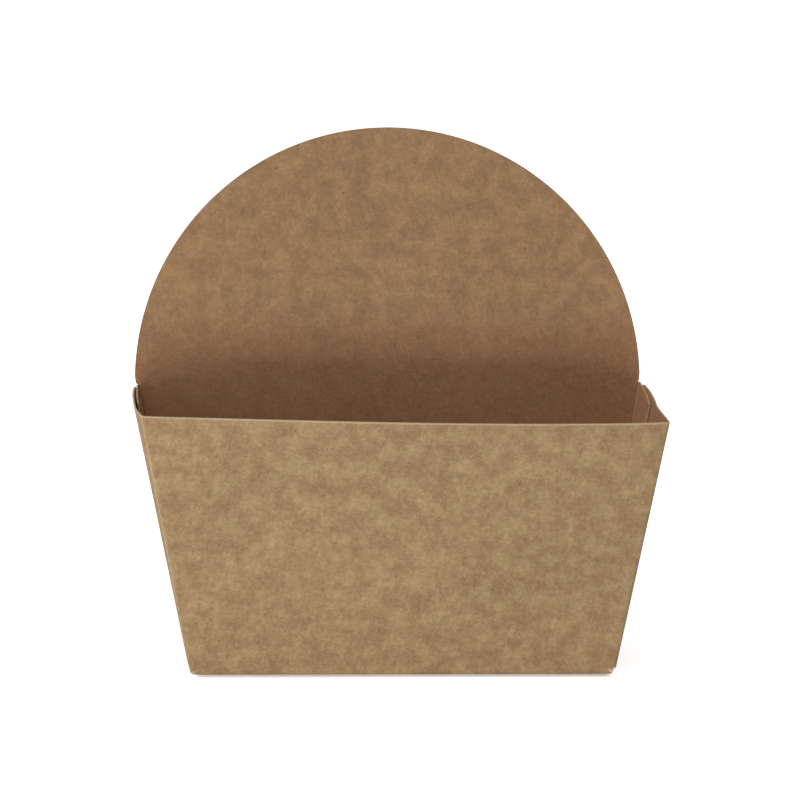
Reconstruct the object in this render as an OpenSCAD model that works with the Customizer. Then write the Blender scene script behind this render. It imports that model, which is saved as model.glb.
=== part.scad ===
// Kraft bakery box: one die-cut blank of kraft board, folded and glued into an open pocket.
// The bottom stands on z = 0 with its centre at the origin, and the low front faces -Y.
// The front panel carries the two outer side flaps. The back panel carries the two glue flaps,
// which are bonded to the inside of the outer flaps. Every outline is drawn on its panel's outer
// face, as seen from outside, and the board's thickness lies behind it.

/* [Box] */
// Width across the rim of the front
rim_w = 140; // [110:1:180]
// Width across the bottom
base_w = 115; // [90:1:135]
// Depth of the bottom, front to back
base_depth = 30; // [24:1:45]
// Height of the front panel, measured up its slope
wall_h = 74; // [50:1:100]
// Lean of the front panel, outward from upright
front_lean = 11; // [6:0.5:16]
// Lean of the back panel, outward from upright
back_lean = 10; // [6:0.5:16]
// Height of the round top's two ends above the rim
shoulder = 0.4; // [0.2:0.1:2]
// How far the front bows outward at the rim
front_bow = 3.2; // [0:0.2:6]

/* [Board] */
// Thickness of the board
board_t = 0.45; // [0.35:0.05:0.6]
// Outside radius of every fold
fold_r = 1; // [0.8:0.1:1.5]

/* [Side flaps] */
// How far the left wall's centre crease stands out at the rim
left_crease_out = 1.5; // [-1.5:0.1:3]
// How far the right wall's centre crease stands out at the rim
right_crease_out = -0.7; // [-1.5:0.1:3]
// Gap between an outer flap's rear edge and the back fold
outer_flap_gap = 3.5; // [2:0.5:8]
// Radius of an outer flap's rear top corner
outer_flap_r = 6; // [1:0.5:10]
// Gap between a glue flap's free edge and the centre crease
glue_flap_gap = 5.5; // [3:0.5:8]
// How far a glue flap's top edge falls from the back fold to its free edge
glue_flap_fall = 2; // [0.5:0.5:8]
// Height of the side walls' lower edges above the underside
wall_lift = 0.4; // [0.2:0.1:1.5]

/* [Bottom] */
// Gap between the bottom's side edges and the glue flaps
bottom_gap = 0.9; // [0.8:0.1:1.5]
// Width of the pressed line across the bottom, where it folds up when the box is flat
score_w = 0.9; // [0.6:0.1:1.5]
// Depth of that pressed line
score_depth = 0.12; // [0.06:0.02:0.16]
// Length of the split in the right bottom corner of the front
split_len = 2; // [0.5:0.1:4]
// Width of that split at its open end
split_w = 0.5; // [0.2:0.1:1]

/* [Hidden] */
$fn = 96;
kraft = [0.64, 0.53, 0.39];
over = 5;
// How deep one region of the board is sunk into the next where they join
lap = 0.01;
lap_turn = 5;
// How far an outline or a bend stands past the height where it would just touch another
proud = 0.03;

// The front's bow starts at this height up the panel and this far in from its folds
bow_low = 6;
bow_edge = 2;
// How fast the bow grows with height, how far its crown is off centre, and how full it is
bow_rise = 1.4;
bow_skew = 1.35;
bow_fullness = 0.75;
bow_rows = 5;
bow_columns = 16;

// Sharp corners of the right-hand side, where the outer faces of the panels would meet
rim_z = wall_h * cos(front_lean);
front_low = [base_w / 2, -base_depth / 2, 0];
front_top = [rim_w / 2, -base_depth / 2 - rim_z * tan(front_lean), rim_z];
back_low = [base_w / 2, base_depth / 2, 0];
back_top = [rim_w / 2, base_depth / 2 + rim_z * tan(back_lean), rim_z];
rim_depth = back_top.y - front_top.y;

// Slopes of the panels, and their outward normals
front_up = [0, -sin(front_lean), cos(front_lean)];
front_n = [0, -cos(front_lean), -sin(front_lean)];
back_up = [0, sin(back_lean), cos(back_lean)];
back_n = [0, cos(back_lean), -sin(back_lean)];
bottom_n = [0, 0, -1];
front_fold = unit(front_top - front_low);
back_fold = unit(back_top - back_low);
side_n = unit(cross(back_low - front_low, front_fold));
side_rake = atan((rim_w - base_w) / 2 / rim_z);

// The creases of one side run to the point where its front and back folds would meet
apex = front_low - (front_top - front_low) * base_depth / (rim_depth - base_depth);

// Cut back from each bottom corner along its folds, so that three folds can meet there
relief = 2 * board_t / cos(side_rake) + bottom_gap;
bottom_half = base_w / 2 - relief;
bend_half = bottom_half - lap;
bend_low = relief + proud;

// Rows and columns of the front's points
front_set = setback(bottom_n, front_n);
front_widen = (rim_w - base_w) / 2 / wall_h;
bow_top = wall_h + over;
bow_inset = bow_edge / rim_w;
bow_heights = [front_set, relief, for (k = [0:bow_rows]) bow_low + (bow_top - bow_low) * k / bow_rows];
bow_shares = [0, for (k = [0:bow_columns]) bow_inset + (1 - 2 * bow_inset) * k / bow_columns, 1];

function unit(v) = v / norm(v);
function turn(n_a, n_b) = acos(min(1, n_a * n_b));

// Distance from a sharp fold line to the flat part of a panel
function setback(n_a, n_b, r = fold_r) = r * tan(turn(n_a, n_b) / 2);

// A point as seen in the flat frame of a panel, which has its origin at a corner
function flat(p, corner, n, up) = [(p - corner) * cross(up, n), (p - corner) * up];

// The place where the line through the flat points a and b comes to the height y
function on_line(a, b, y) = [a.x + (b.x - a.x) * (y - a.y) / (b.y - a.y), y];

// The place where that line meets the line through p in the direction dir
function meet(a, b, p, dir) = a + (b - a) * cross(p - a, dir) / cross(b - a, dir);

// The place at x on the line through p in the direction dir
function at_x(p, dir, x) = [x, p.y + (x - p.x) * dir.y / dir.x];

// The level direction as seen in the flat frame of a side panel, rearward
function flat_level(n, up) = unit([cross([0, 0, 1], n) * cross(up, n), cross([0, 0, 1], n) * up]);

// Top of a wall's centre crease, and the outward normals of the wall's two halves
function crease_top(out) = (front_top + back_top) / 2 + out * side_n;
function fore_n(out) = unit(cross(crease_top(out) - front_low, front_fold));
function rear_n(out) = unit(cross(back_fold, crease_top(out) - back_low));
function on_crease(out, z) = apex + (crease_top(out) - apex) * (z - apex.z) / (crease_top(out).z - apex.z);
function crease_face_r(out) = out > 0 ? fold_r : fold_r - board_t;
function crease_set(out) = setback(fore_n(out), rear_n(out), crease_face_r(out));

// The back fold lies one board further in than the front fold, inside the outer flap
function glue_shift(out) = (board_t - lap) / sin(turn(rear_n(out), back_n));
function glue_low(out) = back_low + glue_shift(out) * cross(back_fold, back_n);

// Puts its children into the flat frame of a panel
module in_frame(corner, n, up) {
    x_dir = cross(up, n);
    multmatrix([
        [x_dir.x, up.x, n.x, corner.x],
        [x_dir.y, up.y, n.y, corner.y],
        [x_dir.z, up.z, n.z, corner.z]
    ]) children();
}

// A flat panel with the outline of its children
module panel(corner, n, up) {
    in_frame(corner, n, up)
        translate([0, 0, -board_t])
            linear_extrude(board_t)
                children();
}

// The bent strip between two panels, which turns from one normal to the other about the fold.
// It is a touch thinner than the panels and laps a little way into both.
module bend(corner, fold, n_a, n_b, length) {
    outward = cross(n_a, n_b) * fold >= 0;
    face_r = outward ? fold_r : fold_r - board_t;
    centre = corner + (outward ? -1 : 1) * face_r * (n_a + n_b) / (1 + n_a * n_b);
    x_dir = outward ? n_a : -n_b;
    y_dir = cross(fold, x_dir);
    multmatrix([
        [x_dir.x, y_dir.x, fold.x, centre.x],
        [x_dir.y, y_dir.y, fold.y, centre.y],
        [x_dir.z, y_dir.z, fold.z, centre.z]
    ])
        rotate([0, 0, -lap_turn])
            rotate_extrude(angle = turn(n_a, n_b) + 2 * lap_turn)
                translate([fold_r - board_t + lap, 0])
                    square([board_t - 2 * lap, length]);
}

// The front's low corner beside the flat edge of a side fold, seen from outside
function front_corner(side, out) = [
    side * (base_w / 2 + front_widen * relief - setback(front_n, fore_n(out)) * norm([1, front_widen])),
    relief
];

// The end of the front at the height y up the panel, in from the bottom fold's end up to the corner
function front_end(side, corner, y) = y < relief
    ? on_line([side * bottom_half, front_set], corner, y)
    : corner + [side * front_widen, 1] * (y - relief);

// How far the front bows outward at a share of the way across and at the height y up the panel
function bow(share, y) =
    let (across = max(0, min(1, (share - bow_inset) / (1 - 2 * bow_inset))))
    let (rise = pow(max(0, (y - bow_low) / (wall_h - bow_low)), bow_rise))
    front_bow * rise * pow(max(0, sin(180 * pow(across, bow_skew))), bow_fullness);

// One row of the front's points at the height y up the panel, this deep behind its outer face
function front_row(y, deep) =
    let (left = front_end(-1, front_corner(-1, left_crease_out), y))
    let (right = front_end(1, front_corner(1, right_crease_out), y))
    [for (share = bow_shares) [left.x + (right.x - left.x) * share, y, bow(share, y) - deep]];

// The two triangles of the cell between four points, seen from outside
function cell(a, b, c, d) = [[a, c, b], [a, d, c]];

// The front, bowed outward at the rim, between the flat edges of its folds
module bowed_front() {
    last = len(bow_shares) - 1;
    top = len(bow_heights) - 1;
    wide = last + 1;
    layer = wide * (top + 1);
    polyhedron(
        points = concat(
            [for (y = bow_heights) each front_row(y, 0)],
            [for (y = bow_heights) each front_row(y, board_t)]
        ),
        faces = concat(
            [for (r = [0:top - 1], c = [0:last - 1], low = [r * wide + c])
                each cell(low, low + 1, low + wide + 1, low + wide)],
            [for (r = [0:top - 1], c = [0:last - 1], low = [layer + r * wide + c])
                each cell(low + 1, low, low + wide, low + wide + 1)],
            [for (c = [0:last - 1]) each cell(layer + c, layer + c + 1, c + 1, c)],
            [for (c = [0:last - 1], high = [top * wide + c])
                each cell(high, high + 1, layer + high + 1, layer + high)],
            [for (r = [0:top - 1], low = [r * wide])
                each cell(layer + low, low, low + wide, layer + low + wide)],
            [for (r = [0:top - 1], low = [r * wide + last])
                each cell(low, layer + low, layer + low + wide, low + wide)]
        )
    );
}

// The split in the right bottom corner of the front, seen from outside
module corner_split() {
    corner = front_corner(1, right_crease_out);
    mouth = (corner + [bottom_half, front_set]) / 2;
    mouth_dir = unit(corner - [bottom_half, front_set]);
    polygon([
        mouth + split_len * [-mouth_dir.y, mouth_dir.x],
        mouth - mouth_dir * split_w / 2 + [mouth_dir.y, -mouth_dir.x],
        mouth + mouth_dir * split_w / 2 + [mouth_dir.y, -mouth_dir.x]
    ]);
}

module front_panel() {
    difference() {
        in_frame([0, front_low.y, 0], front_n, front_up)
            bowed_front();
        in_frame([0, front_low.y, 0], front_n, front_up)
            translate([0, 0, -2 * board_t])
                linear_extrude(3 * board_t)
                    corner_split();
    }
    bend([bend_half, front_low.y, 0], [-1, 0, 0], bottom_n, front_n, 2 * bend_half);
}

// The back: straight-sided up to the rim and half-round above it
module back_outline() {
    low = setback(bottom_n, back_n);
    rim = rim_z / cos(back_lean);
    widen = (rim_w - base_w) / 2 / rim;
    stretch = norm([1, widen]);
    left_in = stretch * (glue_shift(left_crease_out) + setback(back_n, rear_n(left_crease_out)));
    right_in = stretch * (glue_shift(right_crease_out) + setback(back_n, rear_n(right_crease_out)));
    polygon([
        [-bottom_half, low],
        [bottom_half, low],
        [base_w / 2 + widen * relief - left_in, relief],
        [rim_w / 2 - left_in, rim],
        [rim_w / 2 - left_in, rim + over],
        [-rim_w / 2 + right_in, rim + over],
        [-rim_w / 2 + right_in, rim],
        [-base_w / 2 - widen * relief + right_in, relief]
    ]);
    translate([0, rim])
        intersection() {
            circle(rim_w / 2);
            translate([-rim_w, shoulder])
                square([2 * rim_w, rim_w]);
        }
}

module back_panel() {
    panel([0, back_low.y, 0], back_n, back_up)
        back_outline();
    bend([-bend_half, back_low.y, 0], [1, 0, 0], bottom_n, back_n, 2 * bend_half);
}

module bottom_panel() {
    front_edge = front_low.y + setback(bottom_n, front_n);
    back_edge = back_low.y - setback(bottom_n, back_n);
    score_r = (score_w * score_w / 4 + score_depth * score_depth) / (2 * score_depth);
    difference() {
        translate([-bottom_half, front_edge, 0])
            cube([2 * bottom_half, back_edge - front_edge, board_t]);
        translate([-base_w, 0, board_t + score_r - score_depth])
            rotate([0, 90, 0])
                cylinder(r = score_r, h = 2 * base_w);
    }
}

// Front half of an outer flap, from the front fold to the centre crease
module fore_outline(out) {
    n = fore_n(out);
    set = setback(front_n, n);
    high = norm(front_top - front_low) + over;
    crease_a = flat(apex, front_low, n, front_fold) - [crease_set(out), 0];
    crease_b = flat(crease_top(out), front_low, n, front_fold) - [crease_set(out), 0];
    polygon([
        [relief, -over],
        on_line(crease_a, crease_b, -over),
        on_line(crease_a, crease_b, high),
        [set, high],
        [set, relief],
        [relief, set]
    ]);
}

// Rear half of an outer flap, from the centre crease to its free edge, with a round top corner
module rear_outline(out) {
    n = rear_n(out);
    crease_a = flat(apex, back_low, n, back_fold) + [crease_set(out), 0];
    crease_b = flat(crease_top(out), back_low, n, back_fold) + [crease_set(out), 0];
    rim = [0, norm(back_top - back_low)];
    level = flat_level(n, back_fold);
    centre_x = -outer_flap_gap - outer_flap_r;
    centre = at_x(rim, level, centre_x) - [0, outer_flap_r / level.x - proud];
    crown = centre + outer_flap_r * [-level.y, level.x];
    polygon([
        on_line(crease_a, crease_b, -over),
        [-outer_flap_gap, -over],
        centre + [outer_flap_r, 0],
        crown,
        crown + [0, over],
        on_line(crease_a, crease_b, crown.y + over)
    ]);
    translate(centre)
        circle(outer_flap_r);
}

// A glue flap, from the back fold to its free edge short of the crease, with its top tapered
module glue_outline(out) {
    n = rear_n(out);
    set = setback(n, back_n);
    corner = glue_low(out);
    edge_a = flat(apex, corner, n, back_fold) + [glue_flap_gap, 0];
    edge_b = flat(crease_top(out), corner, n, back_fold) + [glue_flap_gap, 0];
    rim = [0, (rim_z - corner.z) / back_fold.z];
    level = flat_level(n, back_fold);
    free_top = meet(edge_a, edge_b, rim, level);
    polygon([
        on_line(edge_a, edge_b, -over),
        [-relief, -over],
        [-relief, set],
        [-set, relief],
        at_x(rim, level, -set) + [0, proud],
        on_line(edge_a, edge_b, free_top.y - glue_flap_fall)
    ]);
}

// The right-hand wall: an outer flap with its crease, and a glue flap bonded inside its rear half
module side_wall(out) {
    crease = unit(crease_top(out) - apex);
    crease_low = on_crease(out, -over);
    crease_length = norm(on_crease(out, rim_z + over) - crease_low);
    intersection() {
        union() {
            bend(front_low + bend_low * front_fold, front_fold, front_n, fore_n(out), wall_h);
            panel(front_low, fore_n(out), front_fold)
                fore_outline(out);
            bend(crease_low, crease, fore_n(out), rear_n(out), crease_length);
            panel(back_low, rear_n(out), back_fold)
                rear_outline(out);
            panel(glue_low(out), rear_n(out), back_fold)
                glue_outline(out);
            bend(glue_low(out) + bend_low * back_fold, back_fold, rear_n(out), back_n, wall_h);
        }
        translate([0, -rim_depth, wall_lift])
            cube([rim_w, 2 * rim_depth, rim_z - wall_lift]);
    }
}

module folded_carton() {
    color(kraft) {
        intersection() {
            front_panel();
            translate([-rim_w, -rim_depth, 0])
                cube([2 * rim_w, 2 * rim_depth, rim_z]);
        }
        bottom_panel();
        back_panel();
        side_wall(right_crease_out);
        mirror([1, 0, 0])
            side_wall(left_crease_out);
    }
}

folded_carton();
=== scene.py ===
"""Looks of an open kraft board bakery box: one folded blank, its loose fibres and a plain studio."""

import logging
import math
from collections.abc import Iterable
from dataclasses import dataclass, field
from enum import Enum

import bmesh
import bpy
import numpy as np
from mathutils import Matrix, Vector
from mathutils.kdtree import KDTree


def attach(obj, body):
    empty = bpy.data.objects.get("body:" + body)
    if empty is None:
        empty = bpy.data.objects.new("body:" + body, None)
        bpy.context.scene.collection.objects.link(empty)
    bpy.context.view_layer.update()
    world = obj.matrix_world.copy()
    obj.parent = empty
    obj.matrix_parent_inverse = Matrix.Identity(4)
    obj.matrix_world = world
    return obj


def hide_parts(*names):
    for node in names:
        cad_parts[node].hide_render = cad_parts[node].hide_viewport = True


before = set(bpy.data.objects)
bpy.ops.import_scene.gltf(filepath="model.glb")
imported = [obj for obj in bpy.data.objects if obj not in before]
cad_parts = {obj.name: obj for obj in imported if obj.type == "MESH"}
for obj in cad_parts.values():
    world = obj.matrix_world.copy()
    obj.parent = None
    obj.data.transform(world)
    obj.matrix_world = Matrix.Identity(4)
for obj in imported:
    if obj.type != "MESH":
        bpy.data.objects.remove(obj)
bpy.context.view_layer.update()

LOG = logging.getLogger("bakery_box")
NODE = "folded_carton"
BODY = "root"
MM = 0.001
WELD = 0.002 * MM
SNAP = 0.0001 * MM
NOISE_ROUGHNESS = 0.6
FLAT_MAP = "flat_blank"
EDGE = "edge_mm"
FOLD = "fold_mm"
REAR = "rear_share"
FRONT = "front_share"
LAYER = "ply_share"
Socket = bpy.types.NodeSocket
Sockets = bpy.types.bpy_prop_collection
Number = float | Socket
Triple = tuple[float, float, float]
Colour = Triple | Socket
Pair = tuple[float, float]


class Face(Enum):
    """Which surface of the board a finish is for. The value is its material slot."""

    OUTER = 0
    INNER = 1
    CUT = 2


class Side(Enum):
    """A side wall of the carton. The value is the sign of its X."""

    LEFT = -1
    RIGHT = 1


@dataclass(frozen=True)
class CartonSize:
    """Sizes of the folded carton, in metres and degrees, the same as in its solid model."""

    rim_width: float = 140 * MM
    base_width: float = 115 * MM
    base_depth: float = 30 * MM
    wall_height: float = 74 * MM
    front_lean: float = 11.0
    back_lean: float = 10.0
    shoulder: float = 0.03 * MM
    shoulder_round: float = 2.4 * MM
    shoulder_overhang: float = 0.6
    board: float = 0.45 * MM
    fold_radius: float = 1.0 * MM
    bottom_radius: float = 0.6 * MM
    crease_reach: float = 0.5 * MM
    outer_flap_gap: float = 2.0 * MM
    outer_flap_radius: float = 3.0 * MM
    glue_flap_gap: float = 5.5 * MM
    glue_flap_fall: float = 2.0 * MM
    glue_line: float = 0.03 * MM
    wall_lift: float = 0.4 * MM
    bottom_gap: float = 0.9 * MM
    flap_cut: float = 4.2 * MM
    corner_lift: float = 0.15 * MM
    left_cut: Pair = (0.9 * MM, 0.25 * MM)
    right_cut: Pair = (1.75 * MM, 0.55 * MM)
    split_in: float = 1.9 * MM
    split_up: float = 1.55 * MM
    split_length: float = 1.9 * MM
    split_width: float = 0.4 * MM

    @property
    def rim(self) -> float:
        """Height of the rim above the underside."""
        return self.wall_height * math.cos(math.radians(self.front_lean))

    @property
    def widen(self) -> float:
        """How much wider each side gets per unit of height."""
        return (self.rim_width - self.base_width) / 2 / self.rim

    @property
    def rake(self) -> float:
        """Cosine of the side walls' lean."""
        return math.cos(math.atan(self.widen))

    @property
    def relief(self) -> float:
        """How far each bottom corner is cut back along its folds."""
        return 2 * self.board / self.rake + self.bottom_gap

    @property
    def bottom_half(self) -> float:
        """Half the length of the two bottom folds."""
        return self.base_width / 2 - self.relief

    @property
    def front_slope(self) -> float:
        """How far the front panel goes forward per unit of height."""
        return math.tan(math.radians(self.front_lean))

    @property
    def back_slope(self) -> float:
        """How far the back panel goes rearward per unit of height."""
        return math.tan(math.radians(self.back_lean))


@dataclass(frozen=True)
class Settling:
    """How the used-looking box has settled out of square, in metres."""

    rack: float = -1.85 * MM
    twist: float = 0.55 * MM
    front_bow: float = 2.6 * MM
    bow_low: float = 6.0 * MM
    bow_rise: float = 1.4
    bow_skew: float = 1.35
    bow_fullness: float = 0.75
    left_spread: float = -0.05 * MM
    right_spread: float = 0.6 * MM
    left_glue_in: float = 0.5 * MM
    right_glue_in: float = 0.2 * MM
    glue_in_rise: int = 10
    left_fore_bulge: float = 0.75 * MM
    left_fore_skew: float = 0.8
    left_rear_bulge: float = 0.35 * MM
    right_fore_bulge: float = -0.45 * MM
    right_fore_skew: float = 1.7
    right_rear_bulge: float = 0.5 * MM
    wave: float = 0.25 * MM
    wave_size: float = 55 * MM
    seed: float = 7.0
    left_sink: float = 0.7 * MM
    right_sink: float = 0.35 * MM
    sink_width: float = 12.0 * MM
    sink_height: float = 9.0 * MM
    left_crease_rim: float = 1.5 * MM
    left_crease_low: float = 0.25 * MM
    right_crease_rim: float = 0.3 * MM
    right_crease_low: float = 0.0

    def crease(self, side: Side, share: np.ndarray) -> np.ndarray:
        """How far a side's crease stands out at each share of the rim's height.

        Args:
            side: Side of the box.
            share: Height as a share of the rim's, from 0 to 1.

        Returns:
            Distances outward, in metres.
        """
        if side is Side.LEFT:
            return self.left_crease_low + (self.left_crease_rim - self.left_crease_low) * share
        return self.right_crease_low + (self.right_crease_rim - self.right_crease_low) * share

    def spread(self, side: Side) -> float:
        """How far a side's back fold has moved outward at the rim."""
        return self.left_spread if side is Side.LEFT else self.right_spread

    def glue_in(self, side: Side) -> float:
        """How far a side's glue flap has come away inward at its free edge, at the rim."""
        return self.left_glue_in if side is Side.LEFT else self.right_glue_in

    def sink(self, side: Side) -> float:
        """How far a side's shoulder has sunk, where the disc, the glue flap and the outer flap meet."""
        return self.left_sink if side is Side.LEFT else self.right_sink

    def bulges(self, side: Side) -> Triple:
        """How far a side's front half bulges at the rim, its skew, and how far its rear half does.

        Args:
            side: Side of the box.

        Returns:
            The front half's reach and skew, and the rear half's reach.
        """
        if side is Side.LEFT:
            return self.left_fore_bulge, self.left_fore_skew, self.left_rear_bulge
        return self.right_fore_bulge, self.right_fore_skew, self.right_rear_bulge


def unit(vectors: np.ndarray) -> np.ndarray:
    """The vectors, each made one unit long."""
    return vectors / np.linalg.norm(vectors, axis=-1, keepdims=True)


def graded(start: float, end: float, count: int, ease: float = 0.0) -> np.ndarray:
    """Places from start to end, closer together at both ends as ease goes from 0 to 1.

    Args:
        start: First place.
        end: Last place.
        count: Number of steps between them.
        ease: How far the steps shrink toward the ends, from 0 to 1.

    Returns:
        The places, one more than the steps.
    """
    even = np.linspace(0, 1, count + 1)
    eased = 0.5 - 0.5 * np.cos(np.pi * even)
    return start + (end - start) * (even * (1 - ease) + eased * ease)


@dataclass
class WallSection:
    """One side wall in level sections: where its folds, crease and free edges are at each height.

    Every point is on the outer face of its own layer of board, on the right-hand side of the box.
    """

    size: CartonSize
    heights: np.ndarray
    crease_out: np.ndarray
    back_spread: np.ndarray
    glue_in: np.ndarray
    bulges: Triple
    fold_cells: int = 8
    corner: np.ndarray = field(init=False)
    crease: np.ndarray = field(init=False)
    fore_dir: np.ndarray = field(init=False)
    rear_dir: np.ndarray = field(init=False)
    rear_out: np.ndarray = field(init=False)
    back_corner: np.ndarray = field(init=False)
    glue_corner: np.ndarray = field(init=False)

    def __post_init__(self) -> None:
        """Finds the sharp corners of the wall and the directions of its two halves."""
        size, z = self.size, self.heights
        half = size.base_width / 2 + size.widen * z
        front_y = -size.base_depth / 2 - size.front_slope * z
        back_y = size.base_depth / 2 + size.back_slope * z
        self.corner = np.stack([half, front_y], axis=-1)
        self.back_corner = np.stack([half + self.back_spread, back_y], axis=-1)
        self.crease = np.stack([half + self.crease_out, (front_y + back_y) / 2], axis=-1)
        self.fore_dir = unit(self.crease - self.corner)
        self.rear_dir = unit(self.back_corner - self.crease)
        self.rear_out = np.stack([self.rear_dir[:, 1], -self.rear_dir[:, 0]], axis=-1)
        inset = (size.board + size.glue_line) / size.rake
        slide = self.rear_out[:, 1:] * inset / self.rear_dir[:, 1:]
        self.glue_corner = self.back_corner - self.rear_out * inset + self.rear_dir * slide

    def _arc(self, corner: np.ndarray, into: np.ndarray, out_of: np.ndarray) -> np.ndarray:
        """The rounded corner of a fold.

        Args:
            corner: Sharp corner of the outer face at each height.
            into: Direction of the board before the fold.
            out_of: Direction of the board after it.

        Returns:
            Points by height and by place round the fold, with both tangent points.
        """
        turn = np.arccos(np.clip(np.sum(into * out_of, axis=-1), -1, 1))
        setback = (self.size.fold_radius * np.tan(turn / 2))[:, None]
        inward = np.stack([-into[:, 1], into[:, 0]], axis=-1)
        centre = corner - into * setback + inward * self.size.fold_radius
        angles = turn[:, None] * np.linspace(0, 1, self.fold_cells + 1)
        along = into[:, None, :] * np.sin(angles)[..., None]
        across = -inward[:, None, :] * np.cos(angles)[..., None]
        return centre[:, None, :] + self.size.fold_radius * (along + across)

    def front_fold(self) -> np.ndarray:
        """Points round the front fold, from the front panel to the outer flap."""
        ahead = np.tile([1.0, 0.0], (len(self.heights), 1))
        return self._arc(self.corner, ahead, self.fore_dir)

    def back_fold(self) -> np.ndarray:
        """Points round the back fold, from the glue flap to the back panel."""
        across = np.tile([-1.0, 0.0], (len(self.heights), 1))
        return self._arc(self.glue_corner, self.rear_dir, across)

    def crease_fold(self, cells: int = 4) -> np.ndarray:
        """Points round the soft centre crease of the outer flap.

        Args:
            cells: Number of cells across the crease.

        Returns:
            Points by height and by place across the crease.
        """
        start = self.crease - self.fore_dir * self.size.crease_reach
        end = self.crease + self.rear_dir * self.size.crease_reach
        t = np.linspace(0, 1, cells + 1)[None, :, None]
        middle = self.crease[:, None] * 2 * t * (1 - t)
        return start[:, None] * (1 - t) ** 2 + middle + end[:, None] * t**2

    def swollen(self, points: np.ndarray) -> np.ndarray:
        """Lets a wall's level points bulge, each half between its fold and the crease.

        Args:
            points: Level points by height and by place along the wall.

        Returns:
            The same points, moved outward or inward.
        """
        fore, skew, rear = self.bulges
        share = (self.heights / self.size.rim)[:, None]
        fore_out = np.stack([self.fore_dir[:, 1], -self.fore_dir[:, 0]], axis=-1)
        for start, along, length, out, reach, ease in (
            (self.corner, self.fore_dir, self.crease - self.corner, fore_out, fore, skew),
            (self.crease, self.rear_dir, self.back_corner - self.crease, self.rear_out, rear, 1.0),
        ):
            passed = np.sum((points - start[:, None]) * along[:, None], axis=-1)
            place = np.clip(passed / np.linalg.norm(length, axis=-1)[:, None], 0, 1)
            swell = np.sin(np.pi * place**ease) * reach * share
            points = points + out[:, None] * swell[..., None]
        return points

    def outer_edge(self) -> np.ndarray:
        """The outer flap's rear edge."""
        return self.back_corner - self.rear_dir * self.size.outer_flap_gap

    def glue_edge(self) -> np.ndarray:
        """The glue flap's free edge.

        Returns:
            A point at each height.
        """
        inset = (self.size.board + self.size.glue_line) / self.size.rake
        inward = inset + self.glue_in[:, None]
        return self.crease - self.rear_out * inward + self.rear_dir * self.size.glue_flap_gap


def between(start: np.ndarray, end: np.ndarray, shares: np.ndarray) -> np.ndarray:
    """Points from start to end at each height, at the given shares of the way.

    Args:
        start: First point at each height.
        end: Last point at each height.
        shares: Shares of the way, from 0 to 1.

    Returns:
        Points by height and by share.
    """
    t = shares[None, :, None]
    return start[:, None, :] * (1 - t) + end[:, None, :] * t


@dataclass
class Board:
    """The sheet of board while it is put together, grid by grid, from its outer face."""

    points: list[np.ndarray] = field(default_factory=list)
    flats: list[np.ndarray] = field(default_factory=list)
    folds: list[np.ndarray] = field(default_factory=list)
    rears: list[np.ndarray] = field(default_factory=list)
    quads: list[np.ndarray] = field(default_factory=list)
    count: int = 0

    def grid(
        self, points: np.ndarray, flat: np.ndarray, fold_lines: np.ndarray, rear: np.ndarray
    ) -> None:
        """Adds one grid of board.

        Args:
            points: Places in space, by row and column, where row direction turned into column
                direction points inward.
            flat: Places on the flat blank.
            fold_lines: Whether each point is in the middle of a fold.
            rear: How far back each point is, from -1 at the front to 1 at the back.
        """
        rows, columns = points.shape[:2]
        index = np.arange(rows * columns).reshape(rows, columns) + self.count
        corners = [index[:-1, :-1], index[:-1, 1:], index[1:, 1:], index[1:, :-1]]
        self.points.append(points.reshape(-1, 3))
        self.flats.append(flat.reshape(-1, 2))
        self.folds.append(fold_lines.reshape(-1))
        self.rears.append(np.broadcast_to(rear, (rows, columns)).reshape(-1))
        self.quads.append(np.stack(corners, axis=-1).reshape(-1, 4))
        self.count += rows * columns

    def mesh(self, name: str) -> bpy.types.Mesh:
        """Welds the grids into one sheet.

        Args:
            name: Name of the new mesh.

        Returns:
            The sheet, with its flat map and its fold and rear attributes.
        """
        mesh = bpy.data.meshes.new(name)
        points = np.concatenate(self.points)
        flat = np.concatenate(self.flats)
        quads = np.concatenate(self.quads)
        mesh.from_pydata(points.tolist(), [], quads.tolist())
        layer = mesh.uv_layers.new(name=FLAT_MAP)
        layer.data.foreach_set("uv", flat[quads.reshape(-1)].astype(np.float32).ravel())
        for label, values in ((FOLD, np.concatenate(self.folds)), (REAR, np.concatenate(self.rears))):
            attribute = mesh.attributes.new(label, "FLOAT", "POINT")
            attribute.data.foreach_set("value", values.astype(np.float32))
        work = bmesh.new()
        work.from_mesh(mesh)
        bmesh.ops.remove_doubles(work, verts=work.verts, dist=WELD)
        work.to_mesh(mesh)
        work.free()
        return mesh


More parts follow.
